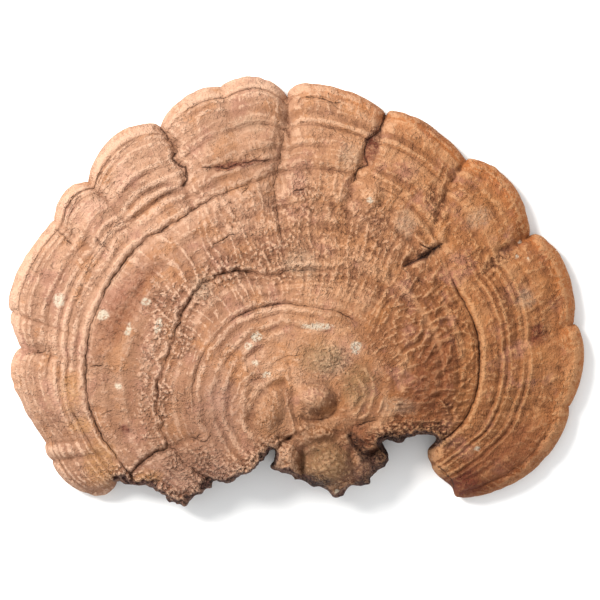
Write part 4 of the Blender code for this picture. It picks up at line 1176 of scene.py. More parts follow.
@dataclass(frozen=True)
class WeatheringAndShade:
    """Where the crust is dusted, chipped, stained or worn, and where shade is painted on it.

    Attributes:
        chips: Small pale chips.
        dusty: Grey dusty places.
        mauve: Mauve-grey places.
        ochre: Yellow-brown places.
        rust: Reddish places.
        bark: Dark bark-like places, and painted shade in two dark holes at the root.
        olive: Olive-grey places.
        russet: Warm dark brown places, and painted shade on the hook, where the light falls off.
        umber: Places painted darker, as shade.
    """

    chips: tuple[Spot, ...] = (
        Spot((-27.0, 43.2), (3.2, 2.6), 20), Spot((-32.0, 39.0), (2.2, 1.8)),
        Spot((-78.0, 49.4), (1.8, 4.2), -12), Spot((-93.6, 46.8), (1.6, 4.2), -8),
        Spot((-84.8, 61.4), (2.4, 2.0)), Spot((-106.6, 54.6), (3.2, 3.0)),
        Spot((-130.0, 62.4), (3.2, 4.2)), Spot((3.6, 48.9), (9.0, 1.6)),
        Spot((-28.0, 29.6), (1.8, 1.6)), Spot((-22.4, 23.9), (2.8, 1.5), 30),
        Spot((23.4, 38.0), (3.0, 3.5)), Spot((86.3, -14.6), (1.9, 1.1)),
        Spot((-98.8, 18.2), (2.2, 2.0)), Spot((14.6, -37.4), (2.6, 2.4)),
        Spot((109.0, 92.6), (1.0, 0.9)), Spot((107.0, 85.3), (1.0, 0.9)),
        Spot((112.8, 84.2), (0.9, 1.0)), Spot((31.2, 113.6), (1.6, 1.4)),
    )
    dusty: tuple[Spot, ...] = (
        Spot((19.8, 136.2), (6.0, 7.0)), Spot((87.4, 105.0), (7.0, 5.5), 40),
        Spot((111.3, 63.4), (4.8, 5.5)), Spot((49.9, 101.9), (6.0, 7.0)),
        Spot((-32.0, 153.4), (9.0, 4.5)), Spot((-5.0, 80.6), (9.0, 8.0)),
        Spot((-56.0, 69.0), (6.0, 7.0)), Spot((10.4, 31.2), (9.0, 8.0)),
        Spot((46.0, 8.0), (10.0, 5.0)),
    )
    mauve: tuple[Spot, ...] = (
        Spot((-49.4, 0.0), (13.0, 22.0), -15), Spot((-60.0, -27.0), (30.0, 13.0), -10),
        Spot((30.0, -25.0), (9.0, 9.0)),
    )
    ochre: tuple[Spot, ...] = (
        Spot((-118.6, -2.0), (6.0, 5.0)), Spot((-83.2, -29.2), (8.0, 4.0), 10),
        Spot((-108.0, -22.0), (9.0, 12.0)), Spot((-124.0, 14.0), (6.0, 10.0)),
    )
    rust: tuple[Spot, ...] = (
        Spot((-95.2, -4.2), (2.4, 2.4)), Spot((31.2, 140.4), (4.0, 8.0)),
        Spot((76.0, -35.0), (15.0, 7.0), 8), Spot((-38.0, 132.5), (17.0, 1.8), 8),
        Spot((80.0, -29.5), (8.0, 4.0), 40),
        Spot((118.0, 44.5), (5.0, 6.0)),
    )
    bark: tuple[Spot, ...] = (
        Spot((36.4, -18.2), (6.5, 8.0)), Spot((28.6, -31.2), (6.0, 4.0)),
        Spot((60.5, 86.8), (8.0, 2.8), 30), Spot((44.0, -9.0), (10.0, 3.0)),
        # The patch at (24.5, -11.5) and the next one paint two dark holes at the root: painted shade.
        Spot((3.0, -31.0), (10.0, 4.0)), Spot((24.5, -11.5), (3.5, 8.0), 35),
        Spot((27.5, -17.0), (3.5, 3.5)),
    )
    russet: tuple[Spot, ...] = (
        # The first patch darkens the hook: warm brown and painted shade where the light falls off.
        Spot((98.0, -22.0), (34.0, 13.0), 36), Spot((27.0, -8.0), (6.0, 9.0), 35),
        Spot((62.0, 20.0), (12.0, 26.0), -20), Spot((-95.0, 60.0), (30.0, 9.0), 60),
    )
    umber: tuple[Spot, ...] = (
        # Painted shade: these patches are painted darker as shade.
        Spot((-32.0, 138.0), (26.0, 24.0)), Spot((-64.0, -6.0), (24.0, 22.0)),
        Spot((-20.0, 0.0), (12.0, 18.0), -20), Spot((-100.0, 30.0), (16.0, 36.0)),
    )
    olive: tuple[Spot, ...] = (
        Spot((25.0, 18.2), (9.0, 12.0)), Spot((8.0, -22.0), (14.0, 13.0)),
        Spot((6.0, 33.0), (12.0, 8.0)),
    )

    def marks(self, plan: Plan) -> dict[str, Array]:
        """Weights of every kind of place, with ragged edges.

        Args:
            plan: The points.

        Returns:
            One list of weights for each kind.
        """
        x, y = plan.points[:, 0], plan.points[:, 1]
        ragged = plan.points + 1.3 * np.stack(
            [Grain.fractal(x / 3.4, y / 3.4, 131, 2), Grain.fractal(x / 3.4, y / 3.4, 137, 2)], 1)
        close = plan.points + 0.5 * np.stack(
            [Grain.fractal(x / 1.9, y / 1.9, 141, 2), Grain.fractal(x / 1.9, y / 1.9, 147, 2)], 1)
        return {
            "chip": smooth_step(0.25, 0.75, spots_weight(self.chips, close)),
            "dusty": spots_weight(self.dusty, ragged),
            "mauve": spots_weight(self.mauve, ragged),
            "ochre": spots_weight(self.ochre, ragged),
            "rust": spots_weight(self.rust, ragged),
            "bark": spots_weight(self.bark, ragged),
            "olive": spots_weight(self.olive, ragged),
            "russet": spots_weight(self.russet, ragged),
            "umber": spots_weight(self.umber, ragged),
        }


@dataclass
class Conk:
    """The conk: one grown piece from crust to pores.

    Attributes:
        centre: Where the growth centre is in the frame.
        rings: Its growth rings.
        relief: Relief of its fan.
        knobs: The knobs at its root.
        cut: The flat cut at its root.
        weathering_and_shade: Where its crust changes colour, and where shade is painted on it.
        chip_depth: How deep the crust has chipped off along the tears.
        spacing: Spacing of the crust's points along the rings and at the root.
        zones: Growth levels between which the rings of points lie, and how many lie there.
        span: Angles that the rings of points run between.
        wall_above: Steps down the edge from the upper face, as shares of its inset.
        wall_below: Steps from the widest line down to the pore surface.
        underside_step: Spacing of the pore surface's points.
        course_radius: Radius at which a length along a ring is true in the finish's grain.
    """

    centre: Point = (7.1, -67.3)
    rings: GrowthRings = field(default_factory=GrowthRings)
    relief: FanRelief = field(default_factory=FanRelief)
    knobs: RootKnobs = field(default_factory=RootKnobs)
    cut: RootCut = field(default_factory=RootCut)
    weathering_and_shade: WeatheringAndShade = field(default_factory=WeatheringAndShade)
    chip_depth: float = 3.0
    spacing: Point = (0.87, 0.78)
    zones: tuple[tuple[float, float, int], ...] = (
        (0.45, 1.0, 33), (1.0, 2.0, 30), (2.0, 3.0, 49), (3.0, 3.985, 51))
    span: Point = (-27.5, 233.0)
    wall_above: tuple[float, ...] = (1.0, 0.72, 0.48, 0.28, 0.12, 0.03)
    wall_below: tuple[float, ...] = (0.05, 0.2, 0.45, 0.75, 1.0)
    underside_step: float = 3.2
    course_radius: float = 100.0

    def __post_init__(self) -> None:
        """Lay out the outline that everything else hangs on."""
        self.outline = Outline(self.rings)

    def crust(self, places: Array) -> tuple[Array, dict[str, Array]]:
        """Height of the upper face, and what its colour depends on.

        Args:
            places: Points in plan, inside the outline.

        Returns:
            The heights, and the marks.
        """
        plan = Plan(places, self.rings)
        distance, edge = self.outline.nearest(places)
        torn = edge[:, Column.TORN.value]
        seams = Seams.none(len(places))
        chipped = torn * self.chipping(places, distance)
        fan = self.relief.dome(plan) - self.relief.ring_grooves(plan, seams)
        fan = fan - self.relief.draw(self.relief.lines, plan, seams, 0.55) + self.relief.raised(plan)
        crumbly = self.relief.crumbliness(plan, torn * (1.0 - smooth_step(3.0, 11.0, distance)))
        fine = (self.relief.growth_lines(plan) + self.relief.folds(plan)
                + self.relief.crinkles(plan) + self.relief.lumps(plan))
        seams.strength *= 1.0 - chipped
        body, knob = self.knobs.merge(fan + fine, places)
        body = body + self.relief.crumble(plan, crumbly)
        body = body - self.relief.draw(self.relief.root_lines, plan, seams, 0.12) + knob * self.bark(plan)
        body = body - self.chip_depth * chipped * (1.0 - 0.7 * knob)
        widest = edge[:, Column.WIDEST.value]
        inward = 1.0 - np.clip(distance / edge[:, Column.ABOVE.value], 0.0, 1.0)
        height = widest + (body - widest) * np.sqrt(1.0 - inward * inward)
        marks = self.weathering_and_shade.marks(plan)
        marks["seam"] = np.clip(seams.offset, -seams.reach, seams.reach)
        marks["crack"] = seams.strength
        marks["knob"] = knob * (plan.radius < 60.0)
        marks["crumb"] = crumbly
        marks["torn"] = np.maximum(torn * (1.0 - smooth_step(0.3, 2.0, distance)), chipped)
        marks.update(self.tones(plan))
        return height, marks

    def chipping(self, places: Array, distance: Array) -> Array:
        """How far the crust has chipped off along a tear, 1 right at it.

        Args:
            places: Points in plan.
            distance: Their distance from the outline.

        Returns:
            Shares from 0 to 1.
        """
        x, y = places[:, 0], places[:, 1]
        reach = 3.4 + 2.6 * Grain.fractal(x / 6.0, y / 6.0, 191, 2)
        ragged = distance + 0.8 * Grain.smooth(x / 1.8, y / 1.8, 193)
        return 1.0 - smooth_step(0.55, 1.0, ragged / np.maximum(reach, 1.2))

    def bark(self, plan: Plan) -> Array:
        """Lumps and creases on the knobs."""
        x, y = plan.points[:, 0], plan.points[:, 1]
        sway = Grain.smooth(x / 5.0, y / 5.0, 151)
        first, second = Grain.cells(x / 4.6 + 0.6 * sway, y / 3.6 - 0.6 * sway, 152)
        creases = 1.0 - smooth_step(0.02, 0.25, second - first)
        return (0.8 * Grain.fractal(x / 8.0, y / 8.0, 153, 2) + 0.55 * Grain.fractal(x / 3.0, y / 3.0, 155, 2)
                - 0.4 * creases - 0.7)

    def tones(self, plan: Plan) -> dict[str, Array]:
        """Slow changes of tone over the fan, and painted shade towards the bottom.

        Args:
            plan: The points.

        Returns:
            How far east a point lies, its ring's tone, its age, how much painted shade darkens it
            towards the bottom, whether it is on the orange rim and whether its lines follow the rings.
        """
        x, y = plan.points[:, 0], plan.points[:, 1]
        cloud = Grain.fractal(x / 30.0, y / 30.0, 161, 3)
        east = smooth_step(-75.0, 95.0, x - 0.15 * (y - 60.0) + 14.0 * cloud)
        band = (0.6 * Grain.smooth(plan.grown_level * 6.3, plan.turn * 1.7, 162)
                + 0.4 * Grain.smooth(plan.grown_level * 15.0, plan.turn * 2.6, 163))
        aged = 1.0 - smooth_step(2.0, 3.3, plan.level)
        # Painted shade: darker towards the bottom, where the light falls off.
        rear = 0.5 * smooth_step(-25.0, 40.0, 10.0 * cloud - y)
        rim = smooth_step(3.74, 3.92, plan.level) * east
        ringed = np.maximum(smooth_step(2.85, 3.1, plan.level), plan.zone((0.0, 1.05), (95.0, 230.0)))
        return {"east": east, "band": band, "aged": aged, "rear": rear, "rim": rim, "ringed": ringed}

    def ring_points(self) -> Array:
        """Points in rows that follow the growth rings, every other row half a step on."""
        sweep = np.linspace(*self.span, 2600)
        rows = []
        for low, high, count in self.zones:
            for level in np.linspace(low, high, count, endpoint=False):
                line = resample(self.rings.line(sweep, level), self.spacing[0])
                rows.append((line[1:] + line[:-1]) / 2.0 if len(rows) % 2 else line)
        return np.concatenate(rows)

    def root_points(self) -> Array:
        """A close lattice of points for the knobs and the middle of the fan."""
        step = self.spacing[1]
        x, y = np.meshgrid(np.arange(-60.0, 70.0, step), np.arange(-45.0, 30.0, step * math.sqrt(0.75)))
        x[1::2] += step / 2.0
        lattice = np.stack([x.ravel(), y.ravel()], 1)
        plan = Plan(lattice, self.rings)
        behind = (plan.angle < self.span[0] - 0.4) | (plan.angle > self.span[1] + 0.4)
        return lattice[(plan.level < self.zones[0][0] - 0.008) | behind]

    def upper_points(self, boundary: Array) -> Array:
        """Every point of the upper face inside its boundary."""
        points = np.concatenate([self.root_points(), self.ring_points()])
        points = points[inside(points, boundary)]
        tree = KDTree(len(boundary))
        for index, (x, y) in enumerate(boundary):
            tree.insert((x, y, 0.0), index)
        tree.balance()
        gap = np.array([tree.find((x, y, 0.0))[2] for x, y in points])
        return points[gap > 0.5]

    def walls(self) -> tuple[list[Array], list[dict[str, Array]]]:
        """Closed rows of vertices that wrap the edge, from the upper face to the pore surface.

        Returns:
            The rows, and the marks of each.
        """
        outline, rows, marks = self.outline, [], []
        torn = outline.rows[:, Column.TORN.value]
        top = outline.eased(outline.inset(Column.INSET_ABOVE), 3)
        for share in (*self.wall_above, 0.0):
            places = outline.loop * (1.0 - share) + top * share
            height, found = self.crust(places)
            if share == 0.0:
                height = outline.rows[:, Column.WIDEST.value]
            found["torn"] = np.maximum(found["torn"], torn)
            stray = self.tear(height) * torn * (share < 1.0)
            rows.append(np.column_stack([places + outline.normals * stray[:, None], height]))
            marks.append(found)
        over, cut_x = self.cut.weight(outline)
        inset = outline.rows[:, Column.INSET_BELOW.value]
        bottom = outline.eased(outline.inset(Column.INSET_BELOW), 4)
        for index, share in enumerate(self.wall_below):
            places = outline.loop * (1.0 - share) + bottom * share
            height = self.rounding(inset * share, outline.rows)
            stray = self.tear(height) * torn * (1.0 - share)
            places = places + outline.normals * stray[:, None]
            plain = np.column_stack([places, height])
            flat = np.column_stack([cut_x, *self.cut_corner(index, cut_x)])
            rows.append(plain * (1.0 - over[:, None]) + flat * over[:, None])
            found = {name: values.copy() for name, values in marks[-1].items()}
            found["cut"] = over * (index > 0)
            found["pores"] = (1.0 - over) * (1.0 - torn) * smooth_step(0.0, 1.0, np.full_like(over, share))
            marks.append(found)
        return rows, marks

    def tear(self, height: Array) -> Array:
        """How far a torn wall strays in or out at each height along the outline."""
        along = self.outline.along
        return (0.45 * Grain.smooth(along / 1.9, height / 6.0, 171)
                + 0.35 * Grain.smooth(along / 5.0, height / 2.4, 172) + 0.2)

    def rounding(self, distance: Array, edge: Array) -> Array:
        """Height of the pore surface near the edge."""
        inward = 1.0 - np.clip(distance / edge[:, Column.BELOW.value], 0.0, 1.0)
        return edge[:, Column.WIDEST.value] * (1.0 - np.sqrt(1.0 - inward * inward))

    def cut_corner(self, index: int, like: Array) -> tuple[Array, Array]:
        """Y and height of the rows that turn in under the knobs and run down the flat cut."""
        steps = ((self.cut.plane - 2.5, 18.9), (self.cut.plane, self.cut.height),
                 (self.cut.plane, 12.0), (self.cut.plane, 6.0), (self.cut.plane, 0.0))
        return np.full_like(like, steps[index][0]), np.full_like(like, steps[index][1])

    def lower_points(self, boundary: Array) -> Array:
        """Points of the pore surface inside its boundary, closer together by the edge."""
        outline = self.outline
        rings = []
        for depth in (1.0, 2.1, 3.2):
            inset = outline.rows[:, Column.INSET_BELOW.value] + depth
            places = (outline.loop + outline.normals * inset[:, None])[::2]
            distance, _ = outline.nearest(places)
            rings.append(places[distance > inset[::2] * 0.93])
        step = self.underside_step
        x, y = np.meshgrid(np.arange(-170.0, 160.0, step), np.arange(-50.0, 190.0, step * math.sqrt(0.75)))
        x[1::2] += step / 2.0
        lattice = np.stack([x.ravel(), y.ravel()], 1)
        lattice = lattice[inside(lattice, boundary)]
        distance, _ = outline.nearest(lattice)
        points = np.concatenate([*rings, lattice[distance > 6.4]])
        over_cut = ((points[:, 0] > self.cut.ends[0] - 3.0) & (points[:, 0] < self.cut.ends[1] + 3.0)
                    & (points[:, 1] < self.cut.plane + 1.0))
        points = points[~over_cut]
        return points[inside(points, boundary)]

    def pore_surface(self, places: Array) -> Array:
        """Height of the pore surface: flat, with faint swells, and rounded up at the edge."""
        distance, edge = self.outline.nearest(places)
        height = self.rounding(distance, edge)
        swell = 0.45 * np.clip(Grain.fractal(places[:, 0] / 16.0, places[:, 1] / 16.0, 181, 2) - 0.1, 0.0, 1.0)
        near_cut = places[:, 1] < self.cut.plane + self.cut.foot
        return np.where(near_cut & (distance > 2.0), 0.0, height + swell * smooth_step(5.0, 12.0, distance))

    def triangles(self, loop: Array, points: Array) -> list[tuple[int, ...]]:
        """Triangles that fill a loop through the points inside it.

        Args:
            loop: The loop's corners.
            points: The points inside it.

        Returns:
            Corners of each triangle, as indices of the loop's points and then the others.
        """
        places = [Vector(place) for place in np.concatenate([loop, points])]
        edges = [(index, (index + 1) % len(loop)) for index in range(len(loop))]
        found, _, faces, origins, _, _ = delaunay_2d_cdt(places, edges, [], 1, 1e-7)
        if len(found) != len(places):
            LOG.warning("a boundary of %d points crosses itself", len(loop))
        return [tuple(origins[corner][0] for corner in face) for face in faces]

    def wrap(self, rows: int, count: int) -> list[tuple[int, ...]]:
        """Triangles between closed rows of vertices that follow one another."""
        faces = []
        for row in range(rows - 1):
            for index in range(count):
                a, b = row * count + index, row * count + (index + 1) % count
                faces += [(a, b, b + count), (a, b + count, a + count)]
        return faces

    def shell(self) -> tuple[Array, list[tuple[int, ...]], dict[str, Array]]:
        """The whole closed surface.

        Returns:
            Its vertices in millimetres, its triangles and the marks of every vertex.
        """
        rows, row_marks = self.walls()
        count, walls = len(rows[0]), np.concatenate(rows)
        upper = self.upper_points(rows[0][:, :2])
        lower = self.lower_points(rows[-1][:, :2])
        height, upper_marks = self.crust(upper)
        underside = np.column_stack([lower, self.pore_surface(lower)])
        vertices = np.concatenate([walls, np.column_stack([upper, height]), underside])
        first_upper, last_row = len(walls) - count, count * (len(rows) - 1)
        first_lower = first_upper + len(upper)
        faces = self.wrap(len(rows), count)
        for face in self.triangles(rows[0][:, :2], upper):
            faces.append(tuple(i if i < count else i + first_upper for i in face))
        for face in self.triangles(rows[-1][:, :2], lower):
            faces.append(tuple(i + (last_row if i < count else first_lower) for i in reversed(face)))
        zero = np.zeros(len(lower))
        marks = {}
        for name in sorted({key for found in (*row_marks, upper_marks) for key in found}):
            ringed = [found.get(name, np.zeros(count)) for found in row_marks]
            below = zero + 1.0 if name == "pores" else zero
            marks[name] = np.concatenate([*ringed, upper_marks.get(name, np.zeros(len(upper))), below])
        LOG.info("crust of %d points, edge of %d, underside of %d", len(upper), len(walls), len(lower))
        return vertices, faces, marks

    def fullness(self, mesh: bpy.types.Mesh, times: int) -> Array:
        """How far each vertex stands up from its neighbourhood, in millimetres.

        Args:
            mesh: The finished mesh.
            times: How often the neighbourhood is averaged.

        Returns:
            Height over the neighbourhood, below 0 in a hollow.
        """
        edges = np.empty(len(mesh.edges) * 2, np.int64)
        mesh.edges.foreach_get("vertices", edges)
        edges = edges.reshape(-1, 2)
        places = np.empty(len(mesh.vertices) * 3)
        mesh.vertices.foreach_get("co", places)
        places = places.reshape(-1, 3) / MM
        normals = np.empty(len(mesh.vertices) * 3)
        mesh.vertex_normals.foreach_get("vector", normals)
        count = np.bincount(edges.ravel(), minlength=len(places)).astype(float)
        average = places.copy()
        for _ in range(times):
            total = np.zeros_like(average)
            for axis in range(3):
                total[:, axis] = (
                    np.bincount(edges[:, 0], average[edges[:, 1], axis], len(places))
                    + np.bincount(edges[:, 1], average[edges[:, 0], axis], len(places)))
            average = 0.5 * average + 0.5 * total / count[:, None]
        return np.sum((places - average) * normals.reshape(-1, 3), axis=1)

    def build(self) -> bpy.types.Object:
        """Make the conk's mesh, keep it inside the solid's box and mark its vertices."""
        vertices, faces, marks = self.shell()
        vertices[:, :2] += np.array(self.centre)
        low, high = (np.array(corner) / MM for corner in CAD_BOX)
        vertices = np.clip(vertices, low + 0.02, high - 0.02)
        vertices[:, 2] = np.where(vertices[:, 2] < 0.03, low[2] + 1e-4, vertices[:, 2])
        mesh = bpy.data.meshes.new("conk_body")
        mesh.from_pydata((vertices * MM).tolist(), [], faces)
        body = bmesh.new()
        body.from_mesh(mesh)
        bmesh.ops.recalc_face_normals(body, faces=body.faces)
        body.to_mesh(mesh)
        body.free()
        mesh.shade_smooth()
        # The finish paints highlight on these ridges and shade in these hollows.
        marks["ridge"] = np.clip(self.fullness(mesh, 3) / 0.16, -1.0, 1.0)
        marks["hollow"] = np.clip(-self.fullness(mesh, 26) / 1.1, -1.0, 1.0)
        for name, values in marks.items():
            mark = mesh.attributes.new(name, "FLOAT", "POINT")
            mark.data.foreach_set("value", values.astype(np.float32))
        plan = Plan(vertices[:, :2] - np.array(self.centre), self.rings)
        x, y = plan.points.T
        sway = 0.9 * np.stack([Grain.fractal(x / 5.0, y / 5.0, seed, 2) for seed in (201, 203)], 1)
        course = np.stack([plan.turn * self.course_radius + sway[:, 0], plan.grown + sway[:, 1],
                           vertices[:, 2]], 1)
        mark = mesh.attributes.new("course", "FLOAT_VECTOR", "POINT")
        mark.data.foreach_set("vector", course.astype(np.float32).ravel())
        conk = bpy.data.objects.new("conk_body", mesh)
        bpy.context.scene.collection.objects.link(conk)
        return conk


@dataclass
class Paint:
    """A shader tree that is being built.

    Attributes:
        tree: The node tree.
    """

    tree: bpy.types.ShaderNodeTree

    def mark(self, name: str) -> Socket:
        """One of the mesh's marks."""
        node = self.tree.nodes.new("ShaderNodeAttribute")
        node.attribute_name = name
        return node.outputs["Fac"]

    def stretched(self, source: Socket, scale: tuple[float, float, float]) -> Socket:
        """A position, scaled along its axes."""
        mapping = self.tree.nodes.new("ShaderNodeMapping")
        mapping.inputs["Scale"].default_value = scale
        self.tree.links.new(source, mapping.inputs["Vector"])
        return mapping.outputs["Vector"]

    def texture(self, where: Socket, detail: float, rough: float) -> Socket:
        """Noise from 0 to 1 of one unit wavelength at a position."""
        node = self.tree.nodes.new("ShaderNodeTexNoise")
        node.inputs["Scale"].default_value = 1.0
        node.inputs["Detail"].default_value = detail
        node.inputs["Roughness"].default_value = rough
        self.tree.links.new(where, node.inputs["Vector"])
        return node.outputs["Fac"]

    def noise(self, size: float, detail: float = 3.0, rough: float = 0.55, tall: float = 1.0) -> Socket:
        """Noise from 0 to 1 that is the same in every direction, or drawn out upwards.

        Args:
            size: Its longest wavelength in millimetres.
            detail: How many octaves it has.
            rough: Strength of each octave against the one before.
            tall: How many times longer it is along Z.

        Returns:
            The noise.
        """
        coordinates = self.tree.nodes.new("ShaderNodeTexCoord")
        scale = 1.0 / (size * MM)
        where = self.stretched(coordinates.outputs["Object"], (scale, scale, scale / tall))
        return self.texture(where, detail, rough)

    def grain(self, around: float, outward: float, detail: float = 2.0, rough: float = 0.55) -> Socket:
        """Noise from 0 to 1 that follows the growth rings.

        Args:
            around: Its wavelength in millimetres along the rings.
            outward: Its wavelength across them.
            detail: How many octaves it has.
            rough: Strength of each octave against the one before.

        Returns:
            The noise.
        """
        node = self.tree.nodes.new("ShaderNodeAttribute")
        node.attribute_name = "course"
        where = self.stretched(node.outputs["Vector"], (1.0 / around, 1.0 / outward, 0.0))
        return self.texture(where, detail, rough)

    def math(self, operation: str, *values: Socket | float, clamp: bool = False) -> Socket:
        """Result of a sum.

        Args:
            operation: Name of the sum.
            *values: The values that it takes, in order.
            clamp: Whether the result stays between 0 and 1.

        Returns:
            The result.
        """
        node = self.tree.nodes.new("ShaderNodeMath")
        node.operation = operation
        node.use_clamp = clamp
        for socket, value in zip(node.inputs, values):
            if isinstance(value, (int, float)):
                socket.default_value = value
            else:
                self.tree.links.new(value, socket)
        return node.outputs[0]

    def total(self, *terms: tuple[Socket, float]) -> Socket:
        """Sum of several values, each times its own weight."""
        result = self.math("MULTIPLY", *terms[0])
        for value, weight in terms[1:]:
            result = self.math("MULTIPLY_ADD", value, weight, result)
        return result

    def span(self, value: Socket, low: float, high: float, bottom: float = 0.0, top: float = 1.0) -> Socket:
        """Map a value smoothly from one range to another.

        Args:
            value: What to map.
            low: Where the result is at its bottom.
            high: Where it is at its top.
            bottom: The result's bottom.
            top: Its top.

        Returns:
            The mapped value.
        """
        node = self.tree.nodes.new("ShaderNodeMapRange")
        node.interpolation_type = "SMOOTHSTEP"
        for name, number in (("From Min", low), ("From Max", high), ("To Min", bottom), ("To Max", top)):
            node.inputs[name].default_value = number
        self.tree.links.new(value, node.inputs["Value"])
        return node.outputs["Result"]

    def mix(self, share: Socket, first: Socket | Colour, second: Socket | Colour) -> Socket:
        """Mix of two colours.

        Args:
            share: How much of the second colour there is.
            first: First colour.
            second: Second colour.

        Returns:
            The mixed colour.
        """
        node = self.tree.nodes.new("ShaderNodeMix")
        node.data_type = "RGBA"
        self.tree.links.new(share, node.inputs["Factor"])
        for name, value in (("A", first), ("B", second)):
            socket = [s for s in node.inputs if s.name == name and s.type == "RGBA"][0]
            if isinstance(value, tuple):
                socket.default_value = value
            else:
                self.tree.links.new(value, socket)
        return [s for s in node.outputs if s.type == "RGBA"][0]

    def blend(self, share: Socket, first: Socket, second: Socket) -> Socket:
        """Mix of two numbers."""
        return self.math("MULTIPLY_ADD", share, self.math("SUBTRACT", second, first), first)

    def creased(self, noise: Socket, sharpness: float) -> Socket:
        """Thin creases between plateaus: 1 in a crease, 0 on a plateau."""
        fall = self.math("ABSOLUTE", self.math("SUBTRACT", noise, 0.5))
        return self.math("MULTIPLY_ADD", fall, -sharpness, 1.0, clamp=True)

    def cells(self, size: float) -> Socket:
        """Rounded grains of a size in millimetres: 1 in the middle of each."""
        coordinates = self.tree.nodes.new("ShaderNodeTexCoord")
        cells = self.tree.nodes.new("ShaderNodeTexVoronoi")
        cells.inputs["Scale"].default_value = 1.0 / (size * MM)
        self.tree.links.new(coordinates.outputs["Object"], cells.inputs["Vector"])
        return self.span(cells.outputs["Distance"], 0.7, 0.0)

    def seam(self) -> Socket:
        """The thin cracks: 1 in the middle of one, 0 away from it."""
        jitter = self.total((self.noise(1.1, 2.0), 0.9), (self.noise(4.0, 2.0), 0.8))
        offset = self.math("ADD", self.mark("seam"), self.math("SUBTRACT", jitter, 0.85))
        strength = self.mark("crack")
        width = self.math("MULTIPLY_ADD", strength, 0.28, 0.08)
        inside = self.math("DIVIDE", self.math("ABSOLUTE", offset), width)
        line = self.span(inside, 1.8, 0.3)
        broken = self.span(self.noise(6.0, 2.0), 0.30, 0.52, 0.25, 1.0)
        return self.math("MULTIPLY", self.math("MULTIPLY", line, broken), self.span(strength, 0.02, 0.6))


